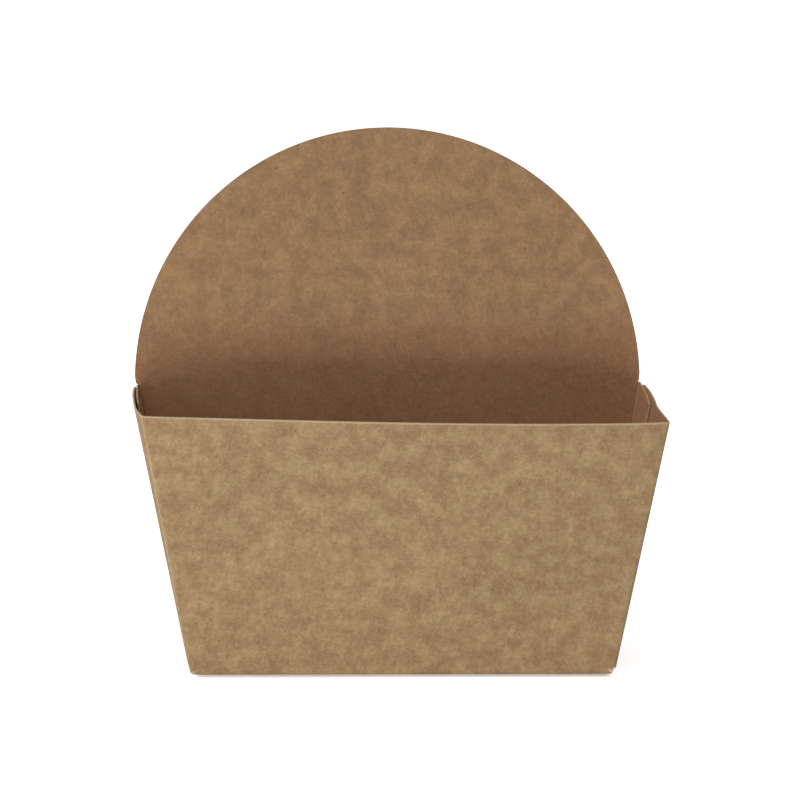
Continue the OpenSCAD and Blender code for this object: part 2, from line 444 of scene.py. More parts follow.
class NodeKit:
    """Short ways to add and link the nodes of one tree, for shaders and Geometry Nodes alike."""

    def __init__(self, tree: bpy.types.NodeTree) -> None:
        """Keeps the tree that nodes are added to."""
        self.tree = tree

    def add(self, kind: str, **settings: str | bool) -> bpy.types.Node:
        """Adds a node.

        Args:
            kind: Blender's type name of the node.
            settings: Properties to set on it.

        Returns:
            The new node.
        """
        node = self.tree.nodes.new(kind)
        for name, value in settings.items():
            setattr(node, name, value)
        return node

    def put(self, socket: Socket, value: Number | tuple | str | bool | None) -> None:
        """Links an output to a socket, or sets the socket's own value.

        Args:
            socket: Input socket to link or set.
            value: An output to link, a value to set, or None to leave the socket alone.
        """
        if isinstance(value, Socket):
            self.tree.links.new(value, socket)
        elif value is not None:
            socket.default_value = value

    def math(self, operation: str, a: Number, b: Number | None = None, clamp: bool = False) -> Socket:
        """One sum: the operation on a and b, each a number or an output.

        Args:
            operation: Blender's name of the operation.
            a: First number or output.
            b: Second number or output, where the operation has one.
            clamp: Whether the result is kept from 0 to 1.

        Returns:
            The output socket.
        """
        node = self.add("ShaderNodeMath", operation=operation, use_clamp=clamp)
        self.put(node.inputs[0], a)
        self.put(node.inputs[1], b)
        return node.outputs[0]

    def noise(self, place: Socket, size: float, detail: float = 2.0) -> Socket:
        """Cloudy noise about 0.5, with features of the given size.

        Args:
            place: Output that gives the place.
            size: Size of the features, in the place's own unit.
            detail: How many finer layers are added.

        Returns:
            The output socket.
        """
        node = self.add("ShaderNodeTexNoise")
        self.put(node.inputs["Vector"], place)
        self.put(node.inputs["Scale"], 1.0 / size)
        self.put(node.inputs["Detail"], detail)
        self.put(node.inputs["Roughness"], NOISE_ROUGHNESS)
        return node.outputs["Fac"]

    def flat(self) -> Socket:
        """Places on the flat blank in millimetres."""
        return self.toned(self.add("ShaderNodeUVMap", uv_map=FLAT_MAP).outputs[0], 1 / MM)

    def framed(self, place: Socket, centre: Pair, turn: float, size: Pair) -> Socket:
        """Places seen from a centre, turned by degrees and in units of a length and a width.

        Args:
            place: Output that gives the place.
            centre: Centre of the new frame, across and up.
            turn: Turn of the frame in degrees.
            size: Length and width that count as one unit.

        Returns:
            The output socket.
        """
        node = self.add("ShaderNodeMapping", vector_type="TEXTURE")
        self.put(node.inputs["Vector"], place)
        self.put(node.inputs["Location"], (*centre, 0.0))
        self.put(node.inputs["Rotation"], (0.0, 0.0, math.radians(turn)))
        self.put(node.inputs["Scale"], (*size, 1.0))
        return node.outputs[0]

    def blend(self, start: Colour, end: Colour, share: Socket) -> Socket:
        """A colour between two colours, each written out or an output.

        Args:
            start: Colour at a share of 0.
            end: Colour at a share of 1.
            share: Output that gives the share.

        Returns:
            The output socket.
        """
        node = self.add("ShaderNodeMix", data_type="RGBA")
        self.put(node.inputs["Factor"], share)
        for socket, colour in zip((node.inputs["A"], node.inputs["B"]), (start, end)):
            self.put(socket, (*colour, 1.0) if isinstance(colour, tuple) else colour)
        return node.outputs["Result"]

    def toned(self, colour: Socket, tone: Number) -> Socket:
        """A colour made lighter or darker by a factor, or a vector made longer.

        Args:
            colour: Colour or vector to scale.
            tone: Factor, a number or an output.

        Returns:
            The output socket.
        """
        node = self.add("ShaderNodeVectorMath", operation="SCALE")
        self.put(node.inputs[0], colour)
        self.put(node.inputs["Scale"], tone)
        return node.outputs[0]

    def ramp(self, value: Number, low: float, high: float, out: Pair = (0.0, 1.0)) -> Socket:
        """A smooth step.

        Args:
            value: Number or output to read.
            low: Value at which the step starts.
            high: Value at which it ends.
            out: What it gives at the start and at the end.

        Returns:
            The output socket.
        """
        node = self.add("ShaderNodeMapRange", interpolation_type="SMOOTHSTEP")
        self.put(node.inputs["Value"], value)
        self.put(node.inputs["From Min"], low)
        self.put(node.inputs["From Max"], high)
        self.put(node.inputs["To Min"], out[0])
        self.put(node.inputs["To Max"], out[1])
        return node.outputs["Result"]


def show(item: bpy.types.Object) -> None:
    """Puts an object into the scene."""
    bpy.context.scene.collection.objects.link(item)


def new_finish(name: str) -> tuple[bpy.types.Material, NodeKit, bpy.types.Node]:
    """Args:
        name: Name of the material.
    """
    material = bpy.data.materials.new(name)
    material.use_nodes = True
    return material, NodeKit(material.node_tree), material.node_tree.nodes["Principled BSDF"]


def new_tree(name: str, labels: Iterable[str], kinds: dict[str, str]) -> bpy.types.NodeTree:
    """Makes an empty Geometry Nodes tree.

    Args:
        name: Name of the tree.
        labels: Names of its inputs after the geometry.
        kinds: Socket types of those inputs that aren't plain numbers.

    Returns:
        The tree, with its inputs and one geometry output.
    """
    tree = bpy.data.node_groups.new(name, "GeometryNodeTree")
    shape = "NodeSocketGeometry"
    tree.interface.new_socket("Geometry", in_out="INPUT", socket_type=shape)
    for label in labels:
        kind = kinds.get(label, "NodeSocketFloat")
        tree.interface.new_socket(label, in_out="INPUT", socket_type=kind)
    tree.interface.new_socket("Geometry", in_out="OUTPUT", socket_type=shape)
    return tree


def set_inputs(modifier: bpy.types.Modifier, values: dict[str, float | bpy.types.Material]) -> None:
    """Sets a Geometry Nodes modifier's inputs by their identifiers.

    Args:
        modifier: The modifier, whose tree has an input for each name.
        values: Values by the names of the inputs.
    """
    for item in modifier.node_group.interface.items_tree:
        if item.in_out == "INPUT" and item.name in values:
            modifier[item.identifier] = values[item.name]


def baked(source: bpy.types.Object, name: str) -> bpy.types.Object:
    """Turns an object with modifiers into a new one with a plain mesh.

    Args:
        source: Object to evaluate. It is removed.
        name: Name of the new object.

    Returns:
        The new object, at the origin, with no modifiers.
    """
    mesh = bpy.data.meshes.new_from_object(source.evaluated_get(bpy.context.evaluated_depsgraph_get()))
    mesh.name = name
    bpy.data.objects.remove(source)
    piece = bpy.data.objects.new(name, mesh)
    show(piece)
    return piece


@dataclass
class SettleTree:
    """The Geometry Nodes tree that lets a square carton settle: it racks, twists and bows."""

    size: CartonSize
    settling: Settling
    finish: bpy.types.Material

    def values(self) -> dict[str, float | bpy.types.Material]:
        """The sizes that the tree's named inputs are set to.

        Returns:
            A value for each name of an input.
        """
        return {
            "Rim height": self.size.rim,
            "Half base": self.size.base_width / 2,
            "Widening": self.size.widen,
            "Rack": self.settling.rack,
            "Turn": 2 * self.settling.twist / self.size.rim_width,
            "Front lean": math.radians(self.size.front_lean),
            "Front bow": self.settling.front_bow,
            "Bow low": self.settling.bow_low,
            "Bow rise": self.settling.bow_rise,
            "Bow skew": self.settling.bow_skew,
            "Bow fullness": self.settling.bow_fullness,
            "Wave": self.settling.wave,
            "Wave size": self.settling.wave_size,
            "Seed": self.settling.seed,
            "Finish": self.finish,
        }

    def build(self) -> bpy.types.NodeTree:
        """Builds the tree.

        Returns:
            A tree that moves the carton's points and ends in Realize Instances and Set Material.
        """
        kinds = {"Finish": "NodeSocketMaterial"}
        tree = new_tree("settle_board", self.values(), kinds)
        kit = NodeKit(tree)
        given = kit.add("NodeGroupInput").outputs
        place = kit.add("ShaderNodeSeparateXYZ")
        kit.put(place.inputs[0], kit.add("GeometryNodeInputPosition").outputs[0])
        x, z = place.outputs["X"], place.outputs["Z"]
        mark, rear = self._attribute(kit, FRONT), self._attribute(kit, REAR)
        share = kit.math("MINIMUM", kit.math("DIVIDE", z, given["Rim height"]), 1.0)
        above = kit.math("MAXIMUM", kit.math("SUBTRACT", z, given["Rim height"]), 0.0)
        lean_over = kit.math("MULTIPLY", above, given["Turn"])
        move_x = kit.math("SUBTRACT", kit.math("MULTIPLY", share, given["Rack"]), lean_over)
        turned = kit.math("MULTIPLY", x, given["Turn"])
        lift = kit.math("MULTIPLY", turned, kit.math("MULTIPLY", rear, share))
        bow = self._bow(kit, given, x, z, mark)
        forward = kit.math("MULTIPLY", bow, kit.math("COSINE", given["Front lean"]))
        sunk = kit.math("MULTIPLY", bow, kit.math("SINE", given["Front lean"]))
        lift = kit.math("SUBTRACT", lift, sunk)
        move_y = kit.math("SUBTRACT", self._wave(kit, given, mark, share), forward)
        move = kit.add("ShaderNodeCombineXYZ")
        for socket, value in zip(move.inputs, (move_x, move_y, lift)):
            kit.put(socket, value)
        moved = kit.add("GeometryNodeSetPosition")
        kit.put(moved.inputs["Geometry"], given["Geometry"])
        kit.put(moved.inputs["Offset"], move.outputs[0])
        finish_tree(kit, moved.outputs[0], given["Finish"])
        return tree

    def _attribute(self, kit: NodeKit, name: str) -> Socket:
        """Reads a number that the sheet carries at each point.

        Args:
            kit: Node kit of the tree.
            name: Name of the attribute.

        Returns:
            The output socket.
        """
        node = kit.add("GeometryNodeInputNamedAttribute", data_type="FLOAT")
        kit.put(node.inputs["Name"], name)
        return node.outputs["Attribute"]

    def _bow(self, kit: NodeKit, given: Sockets, x: Socket, z: Socket, mark: Socket) -> Socket:
        """How far the front bows out: most a little right of its middle, at the rim.

        Args:
            kit: Node kit of the tree.
            given: The tree's inputs.
            x: Output that gives the place across.
            z: Output that gives the height.
            mark: Output that tells the front panel from the rest.

        Returns:
            The distance that a point moves out of the front panel.
        """
        half = kit.math("ADD", given["Half base"], kit.math("MULTIPLY", z, given["Widening"]))
        across = kit.math("ADD", kit.math("DIVIDE", x, kit.math("MULTIPLY", half, 2.0)), 0.5, clamp=True)
        skewed = kit.math("POWER", across, given["Bow skew"])
        hump = kit.math("SINE", kit.math("MULTIPLY", skewed, math.pi))
        hump = kit.math("POWER", kit.math("MAXIMUM", hump, 0.0), given["Bow fullness"])
        front = kit.math("MAXIMUM", mark, 0.0)
        reach = kit.math("SUBTRACT", given["Rim height"], given["Bow low"])
        rise = kit.math("DIVIDE", kit.math("SUBTRACT", z, given["Bow low"]), reach, clamp=True)
        height = kit.math("POWER", rise, given["Bow rise"])
        full = kit.math("MULTIPLY", front, given["Front bow"])
        return kit.math("MULTIPLY", kit.math("MULTIPLY", hump, height), full)

    def _wave(self, kit: NodeKit, given: Sockets, mark: Socket, share: Socket) -> Socket:
        """A slight unevenness of the large panels.

        Args:
            kit: Node kit of the tree.
            given: The tree's inputs.
            mark: Output that tells the large panels from the rest.
            share: Output that gives the height as a share of the rim's.

        Returns:
            The distance that a point moves to the rear.
        """
        noise = kit.add("ShaderNodeTexNoise", noise_dimensions="4D")
        scaled = kit.add("ShaderNodeVectorMath", operation="SCALE")
        kit.put(scaled.inputs[0], kit.add("GeometryNodeInputPosition").outputs[0])
        kit.put(scaled.inputs["Scale"], kit.math("DIVIDE", 1.0, given["Wave size"]))
        kit.put(noise.inputs["Vector"], scaled.outputs[0])
        kit.put(noise.inputs["W"], given["Seed"])
        kit.put(noise.inputs["Scale"], 1.0)
        kit.put(noise.inputs["Detail"], 1.0)
        centred = kit.math("SUBTRACT", noise.outputs[0], 0.5)
        reach = kit.math("MULTIPLY", kit.math("ABSOLUTE", mark), share)
        full = kit.math("MULTIPLY", given["Wave"], 2.0)
        return kit.math("MULTIPLY", kit.math("MULTIPLY", centred, reach), full)


def finish_tree(kit: NodeKit, geometry: Socket, finish: Socket) -> None:
    """Ends a Geometry Nodes tree in Realize Instances and Set Material.

    Args:
        kit: Node kit of the tree.
        geometry: Output with the tree's geometry.
        finish: Output with its material.
    """
    real = kit.add("GeometryNodeRealizeInstances")
    dressed = kit.add("GeometryNodeSetMaterial")
    kit.put(real.inputs["Geometry"], geometry)
    kit.put(dressed.inputs["Geometry"], real.outputs[0])
    kit.put(dressed.inputs["Material"], finish)
    kit.put(kit.add("NodeGroupOutput").inputs[0], dressed.outputs[0])


@dataclass
class Carton:
    """The carton itself: one folded blank with two outer side flaps and two glue flaps."""

    size: CartonSize
    settling: Settling
    disc_cells: int = 150
    disc_rows: int = 46
    shoulder_rows: int = 8
    wall_rows: int = 44
    corner_rows: int = 3
    low_rows: int = 6
    bottom_rows: int = 13
    bend_rows: int = 9
    corner_cells: int = 8
    shoulder_cells: int = 9
    fore_cells: int = 16
    rear_cells: int = 10
    glue_cells: int = 16
    disc_ease: float = 0.6
    fore_ease: float = 0.4
    rear_ease: float = 0.2
    glue_ease: float = 0.5
    rim_zone: float = 3 * MM
    rim_rows: tuple[float, ...] = (2.2, 1.5, 0.95, 0.5, 0.2, 0.0)
    fade_inset: float = 1.1 * MM
    fade_width: float = 2 * MM
    fade_above: float = 8 * MM
    split_zone: float = 1.5
    split_facing: float = 0.1
    panel_share: float = 0.999
    sharp_angle: float = 40.0
    heights: np.ndarray = field(init=False)
    disc_radius: float = field(init=False)
    back_up: np.ndarray = field(init=False)
    flat_rim: float = field(init=False)
    crease_columns: slice = field(init=False)

    def __post_init__(self) -> None:
        """Lays out the level rows that all panels share."""
        size = self.size
        near_rim = size.rim - np.array(self.rim_rows) * MM
        body = graded(size.relief, size.rim - self.rim_zone, self.wall_rows)
        corner = np.linspace(self.corner_height, size.relief, self.corner_rows + 1)[:-1]
        self.heights = np.concatenate([corner, body, near_rim])
        self.disc_radius = size.rim_width / 2
        lean = math.radians(size.back_lean)
        self.back_up = np.array([math.sin(lean), math.cos(lean)])

    def section(self, side: Side, heights: np.ndarray) -> WallSection:
        """The wall of one side at the given heights.

        Args:
            side: Side of the box.
            heights: Heights of the level sections.

        Returns:
            The wall's sections.
        """
        share = heights / self.size.rim
        settling = self.settling
        return WallSection(
            size=self.size,
            heights=heights,
            crease_out=settling.crease(side, share),
            back_spread=settling.spread(side) * share,
            glue_in=settling.glue_in(side) * share**settling.glue_in_rise,
            bulges=settling.bulges(side),
        )

    def flat_up(self, z: np.ndarray, front: bool) -> np.ndarray:
        """Place up the front or back panel on the flat blank, where the front's is below zero.

        Args:
            z: Heights of the points.
            front: Whether they hang on the front panel.

        Returns:
            Distances from the middle of the bottom, along the blank.
        """
        lean = self.size.front_lean if front else self.size.back_lean
        bend = self.bottom_bend(lean)
        start = bend[0, 0] + np.sum(np.linalg.norm(np.diff(bend, axis=0), axis=1))
        place = start + (z - bend[-1, 1]) / math.cos(math.radians(lean))
        return -place if front else place

    def rear_share(self, y: np.ndarray, z: np.ndarray) -> np.ndarray:
        """How far back points are between the front and back panels, from -1 to 1.

        Args:
            y: Places from front to back.
            z: Heights of the points.

        Returns:
            A share for each point.
        """
        front = -self.size.base_depth / 2 - self.size.front_slope * z
        back = self.size.base_depth / 2 + self.size.back_slope * z
        return np.clip(2 * (y - front) / (back - front) - 1, -1, 1)

    @property
    def corner_height(self) -> float:
        """Lowest height of a side fold, at the left front corner, which is hardly cut back."""
        return self.bottom_bend(self.size.front_lean)[-1, 1] + self.size.corner_lift

    def fold_start(self, side: Side, front: bool) -> int:
        """The row at which a side fold starts, above the cut at its bottom corner."""
        return 0 if front and side is Side.LEFT else self.corner_rows

    def low_heights(self, side: Side, front: bool) -> np.ndarray:
        """Heights of the rows of a flap below its fold."""
        top = self.heights[self.fold_start(side, front)]
        return np.linspace(self.size.wall_lift, top, self.low_rows)

    def rim_tangents(self) -> list[float]:
        """How far from the middle the back panel's flat ends at the rim, on the left and the right."""
        return [self.section(side, self.heights[-1:]).back_fold()[0, -1, 0] for side in Side]

    def column_shares(self) -> np.ndarray:
        """Shares of the way across the panels, spaced so that the round top's edge is even.

        Returns:
            The shares, from 0 at the left to 1 at the right.
        """
        tangents = self.rim_tangents()
        start = math.acos(tangents[0] / self.disc_radius)
        end = math.pi - math.acos(tangents[1] / self.disc_radius)
        across = -np.cos(np.linspace(start, end, self.disc_cells + 1))
        return (across - across[0]) / (across[-1] - across[0])

    def bottom_bend(self, lean: float) -> np.ndarray:
        """The fold between the bottom and a panel, as distances outward and up, from the bottom on.

        Args:
            lean: The panel's lean from upright, in degrees.

        Returns:
            Pairs of distances, outward from the middle and up from the ground.
        """
        turn = math.radians(90 - lean)
        radius = self.size.bottom_radius
        setback = radius * math.tan(turn / 2)
        angles = np.linspace(0, turn, self.bend_rows)
        outward = self.size.base_depth / 2 - setback + radius * np.sin(angles)
        return np.stack([outward, radius * (1 - np.cos(angles))], axis=-1)

    def panel_rows(self, front: bool) -> tuple[np.ndarray, np.ndarray]:
        """The rows of the front or back panel from the middle of the bottom up to the rim.

        Args:
            front: Whether the panel is the front one.

        Returns:
            Rows of left x, right x, y and z, and whether each row is in the middle of a fold.
        """
        size = self.size
        slope = size.front_slope if front else size.back_slope
        sign = -1 if front else 1
        bend = self.bottom_bend(size.front_lean if front else size.back_lean)
        inner = size.bottom_half
        flat_bottom = np.linspace(0, bend[0, 0], self.bottom_rows)[:-1]
        cuts = [self._corner_cut(side, front) for side in Side]
        lows = [side.value * (size.base_width / 2 - cut[1]) for side, cut in zip(Side, cuts)]
        grounds = [side.value * (size.base_width / 2 - cut[0]) for side, cut in zip(Side, cuts)]
        opening = np.clip((flat_bottom - flat_bottom[-4]) / (bend[0, 0] - flat_bottom[-4]), 0, 1)
        rows = []
        for y, share in zip(flat_bottom, opening):
            left = -inner + (grounds[0] + inner) * share
            right = inner + (grounds[1] - inner) * share
            rows.append([left, right, sign * y, 0.0])
        for (y, z), share in zip(bend, np.linspace(0, 1, len(bend))):
            ends = [ground + (low - ground) * share for ground, low in zip(grounds, lows)]
            rows.append([*ends, sign * y, z])
        ends = []
        for side, low in zip(Side, lows):
            wall = self.section(side, self.heights)
            tangent = side.value * (wall.front_fold()[:, 0, 0] if front else wall.back_fold()[:, -1, 0])
            start = self.fold_start(side, front)
            share = np.clip((self.heights - bend[-1, 1]) / (self.heights[start] - bend[-1, 1]), 0, 1)
            ends.append(np.where(share < 1, low + (tangent[start] - low) * share, tangent))
        depths = sign * (size.base_depth / 2 + slope * self.heights)
        rows += np.stack([ends[0], ends[1], depths, self.heights], axis=-1).tolist()
        folds = np.zeros(len(rows))
        folds[len(flat_bottom):len(flat_bottom) + len(bend)] = 1
        return np.array(rows), folds

    def _corner_cut(self, side: Side, front: bool) -> Pair:
        """How far a bottom fold ends short of the corner, at its lower and its upper edge.

        Args:
            side: Side of the box.
            front: Whether the fold is the front one.

        Returns:
            The two distances.
        """
        if not front:
            return self.size.relief, self.size.relief
        return self.size.left_cut if side is Side.LEFT else self.size.right_cut

    def add_panels(self, board: Board) -> None:
        """Adds the front, bottom and back as one strip.

        Args:
            board: The sheet to add to.
        """
        shares = self.column_shares()
        back, back_folds = self.panel_rows(front=False)
        front, front_folds = self.panel_rows(front=True)
        rows = np.concatenate([back[::-1], front[1:]])
        folds = np.concatenate([back_folds[::-1], front_folds[1:]])
        x = rows[:, :1] + (rows[:, 1:2] - rows[:, :1]) * shares[None, :]
        y = np.broadcast_to(rows[:, 2:3], x.shape)
        z = np.broadcast_to(rows[:, 3:4], x.shape)
        steps = np.linalg.norm(np.diff(rows[:, 2:], axis=0), axis=1)
        flat_v = -np.concatenate([[0], np.cumsum(steps)])
        flat_v -= flat_v[len(back) - 1]
        flat = np.stack([x, np.broadcast_to(flat_v[:, None], x.shape)], axis=-1)
        fold_lines = np.broadcast_to(folds[:, None], x.shape)
        board.grid(np.stack([x, y, z], axis=-1), flat, fold_lines, self.rear_share(y, z))
        self.flat_rim = flat_v[0]

    def add_round_top(self, board: Board) -> None:
        """Adds the half-round top of the back, with its shoulders beyond the folds.

        Args:
            board: The sheet to add to.
        """
        size = self.size
        shares = self.column_shares()
        ends = [side.value * tangent for side, tangent in zip(Side, self.rim_tangents())]
        inner = ends[0] + (ends[1] - ends[0]) * shares
        neck = np.array([size.shoulder, 0.0])
        self._back_grid(board, np.tile(inner, (2, 1)), np.tile(neck[:, None], (1, len(inner))))
        limit = math.asin(size.shoulder_round / self.disc_radius)
        starts = [math.acos(tangent / self.disc_radius) for tangent in self.rim_tangents()]
        left = -self.disc_radius * np.cos(np.linspace(limit, starts[0], self.shoulder_cells))
        right = self.disc_radius * np.cos(np.linspace(starts[1], limit, self.shoulder_cells))
        across = np.concatenate([left[:-1], inner, right[1:]])
        rise = np.sqrt(self.disc_radius**2 - across**2) - size.shoulder_round
        down = 1 - graded(0, 1, self.disc_rows, self.disc_ease)
        up = size.shoulder_round + np.maximum(rise, 0)[None, :] * down[:, None]
        self._back_grid(board, np.tile(across, (len(down), 1)), up)
        held = np.clip(across, ends[0], ends[1])
        share = (1 - np.linspace(0, 1, self.shoulder_rows + 1))[:, None]
        over = size.shoulder_overhang + (1 - size.shoulder_overhang) * np.sqrt(share)
        up = size.shoulder + (size.shoulder_round - size.shoulder) * share
        self._back_grid(board, held + (across - held) * over, np.tile(up, (1, len(across))))

    def _back_grid(self, board: Board, x: np.ndarray, up: np.ndarray) -> None:
        """Adds a grid that lies in the back panel, given distances across and up from the rim.

        Args:
            board: The sheet to add to.
            x: Distances across, by row and column.
            up: Distances up along the panel from the rim, by row and column.
        """
        rim = self.size.rim
        base = self.size.base_depth / 2 + self.size.back_slope * rim
        points = np.stack([x, base + up * self.back_up[0], rim + up * self.back_up[1]], axis=-1)
        flat = np.stack([x, self.flat_rim + up], axis=-1)
        board.grid(points, flat, np.zeros(x.shape), np.ones(x.shape))

    def add_side(self, board: Board, side: Side) -> None:
        """Adds one side wall: an outer flap and the glue flap inside its rear half.

        Args:
            board: The sheet to add to.
            side: The wall's side.
        """
        for front in (True, False):
            wall = self.section(side, self.heights[self.fold_start(side, front):])
            low = self.section(side, self.low_heights(side, front))
            if front:
                self._add_outer_flap(board, side, wall, low)
            else:
                self._add_glue_flap(board, side, wall, low)

    def _chamfer(self, low: WallSection, setback: float, reach: float) -> np.ndarray:
        """Where a flap starts below its fold, as distances from its sharp corner.

        Args:
            low: The wall's sections below the fold's start.
            setback: The distance at the fold's start.
            reach: The distance at the flap's foot.

        Returns:
            A distance at each height.
        """
        share = (low.heights - low.heights[0]) / (low.heights[-1] - low.heights[0])
        return reach + (setback - reach) * share

    def _add_outer_flap(self, board: Board, side: Side, wall: WallSection, low: WallSection) -> None:
        """Adds the front fold, the outer flap with its crease, and the strip below the fold.

        Args:
            board: The sheet to add to.
            side: The wall's side.
            wall: The wall's sections from the fold's start up to the rim.
            low: The wall's sections below the fold's start.
        """
        size = self.size
        bend = wall.front_fold()
        fold_marks = np.zeros(bend.shape[1])
        fold_marks[1:-1] = 1
        tangent = np.abs(bend[:, :1, 0])
        self._side_grid(board, side, bend, wall.heights, tangent, fold_marks)
        arc_length = np.sum(np.linalg.norm(np.diff(bend, axis=1), axis=-1), axis=1)[:, None]
        setback = np.linalg.norm(bend[0, -1] - wall.corner[0])
        upper = self._outer_columns(wall, bend[:, -1])
        radius = size.outer_flap_radius
        corner_zone = radius * np.sin(np.linspace(0, math.pi / 2, self.corner_cells + 1))
        drop = radius - np.sqrt(np.maximum(radius**2 - corner_zone**2, 0))
        fall = np.zeros(upper.shape[1])
        fall[-len(drop):] = drop
        crease_marks = np.zeros(upper.shape[1])
        crease_marks[self.crease_columns] = 1
        upper, heights = self._lowered(upper, wall.heights, fall)
        self._side_grid(board, side, upper, heights, tangent + arc_length, crease_marks)
        if side is Side.LEFT:
            low_bend = low.front_fold()
            self._side_grid(board, side, low_bend, low.heights, low_bend[:, :1, 0], fold_marks)
        chamfer = self._chamfer(low, setback, setback if side is Side.LEFT else size.flap_cut)
        lower = self._outer_columns(low, low.corner + low.fore_dir * chamfer[:, None])
        first = tangent[:1] + arc_length[:1] + (chamfer - setback)[:, None]
        self._side_grid(board, side, lower, low.heights, first, crease_marks)

    def _outer_columns(self, wall: WallSection, start: np.ndarray) -> np.ndarray:
        """The outer flap's points by height, from the front fold over the crease to the rear edge.

        Args:
            wall: The wall's sections.
            start: The flap's first point at each height.

        Returns:
            Level points by height and by column.
        """
        crease = wall.crease_fold()
        fore = between(start, crease[:, 0], graded(0, 1, self.fore_cells, self.fore_ease))
        edge = wall.outer_edge()
        corner_start = edge - wall.rear_dir * self.size.outer_flap_radius
        rear = between(crease[:, -1], corner_start, graded(0, 1, self.rear_cells, self.rear_ease))
        turn = np.sin(np.linspace(0, math.pi / 2, self.corner_cells + 1))
        corner = between(corner_start, edge, turn)
        self.crease_columns = slice(fore.shape[1], fore.shape[1] + crease.shape[1] - 2)
        return wall.swollen(np.concatenate([fore, crease[:, 1:-1], rear, corner[:, 1:]], axis=1))

    def _add_glue_flap(self, board: Board, side: Side, wall: WallSection, low: WallSection) -> None:
        """Adds the back fold, the glue flap with its tapered top, and the strip below the fold.

        Args:
            board: The sheet to add to.
            side: The wall's side.
            wall: The wall's sections from the fold's start up to the rim.
            low: The wall's sections below the fold's start.
        """
        bend = wall.back_fold()
        tangent = np.abs(bend[:, -1:, 0])
        arc_length = np.sum(np.linalg.norm(np.diff(bend, axis=1), axis=-1), axis=1)[:, None]
        fold_marks = np.zeros(bend.shape[1])
        fold_marks[1:-1] = 1
        self._side_grid(board, side, bend, wall.heights, tangent + arc_length, fold_marks, glue=True)
        shares = graded(0, 1, self.glue_cells, self.glue_ease)
        upper = wall.swollen(between(wall.glue_edge(), bend[:, 0], shares))
        bend = bend + (upper[:, -1:] - bend[:, :1])
        width = np.linalg.norm(upper[:, -1] - upper[:, 0], axis=-1)
        plain = np.zeros(len(shares))
        upper, heights = self._lowered(upper, wall.heights, self.size.glue_flap_fall * (1 - shares))
        first = tangent + arc_length + width[:, None]
        self._side_grid(board, side, upper, heights, first, plain, glue=True)
        setback = np.linalg.norm(bend[0, 0] - wall.glue_corner[0])
        end = low.glue_corner - low.rear_dir * self._chamfer(low, setback, self.size.relief)[:, None]
        lower = low.swollen(between(low.glue_edge(), end, shares))
        first = np.tile(first[:1], (len(low.heights), 1))
        self._side_grid(board, side, lower, low.heights, first, plain, glue=True)

    def _lowered(
        self, points: np.ndarray, heights: np.ndarray, fall: np.ndarray
    ) -> tuple[np.ndarray, np.ndarray]:
        """Draws each column of a flap down to its own top.

        Args:
            points: Level points by row and column.
            heights: Height of each row.
            fall: How far each column's top is below the rim.

        Returns:
            The moved level points and the height of each.
        """
        scale = 1 - fall / (heights[-1] - heights[0])
        moved = points[:1] + (points - points[:1]) * scale[None, :, None]
        raised = heights[0] + (heights - heights[0])[:, None] * scale[None, :]
        return moved, raised

    def _side_grid(
        self,
        board: Board,
        side: Side,
        level: np.ndarray,
        heights: np.ndarray,
        first: np.ndarray,
        fold_marks: np.ndarray,
        glue: bool = False,
    ) -> None:
        """Adds a grid of a side wall, mirrored for the left.

        Args:
            board: The sheet to add to.
            side: The wall's side.
            level: Level points of the right-hand wall, by height and from front to back.
            heights: Height of each row, or of each point.
            first: Distance across the blank of the first column, by row.
            fold_marks: Whether each column is in the middle of a fold.
            glue: Whether the grid hangs on the back panel, whose glue flaps run inward.
        """
        z = np.broadcast_to(heights if heights.ndim == 2 else heights[:, None], level.shape[:2])
        steps = np.linalg.norm(np.diff(level, axis=1), axis=-1)
        along = np.concatenate([np.zeros((len(level), 1)), np.cumsum(steps, axis=1)], axis=1)
        across = side.value * (first - along if glue else first + along)
        points = np.stack([side.value * level[..., 0], level[..., 1], z], axis=-1)
        flat = np.stack([across, self.flat_up(z, front=not glue)], axis=-1)
        marks = np.broadcast_to(fold_marks[None, :], z.shape)
        rear = self.rear_share(level[..., 1], z)
        if side is Side.LEFT:
            points, flat, marks, rear = points[:, ::-1], flat[:, ::-1], marks[:, ::-1], rear[:, ::-1]
        board.grid(points, flat, marks, rear)

    def skin(self) -> bpy.types.Mesh:
        """Builds the carton's outer face as one sheet.

        Returns:
            The sheet's mesh, with its flat map and attributes.
        """
        board = Board()
        self.add_panels(board)
        self.add_round_top(board)
        for side in Side:
            self.add_side(board, side)
        board.points = [self._sunk(points) for points in board.points]
        mesh = board.mesh("carton_skin")
        self._cut_split(mesh)
        self._mark(mesh)
        return mesh

    def _sunk(self, points: np.ndarray) -> np.ndarray:
        """Lets both shoulders sink a little, in a soft dip round each end of the back fold.

        Args:
            points: Points of the sheet.

        Returns:
            The same points, moved down.
        """
        settling = self.settling
        x, y, z = points.T
        rear = np.clip(self.rear_share(y, np.minimum(z, self.size.rim)), 0, 1)
        near = np.clip(1 - (self.size.rim_width / 2 - np.abs(x)) / settling.sink_width, 0, 1)
        level = np.exp(-((z - self.size.rim) / settling.sink_height) ** 2)
        reach = np.where(x < 0, settling.sink(Side.LEFT), settling.sink(Side.RIGHT))
        drop = reach * level * rear * near**2 * (3 - 2 * near)
        return points - np.stack([0 * x, 0 * x, drop], axis=-1)

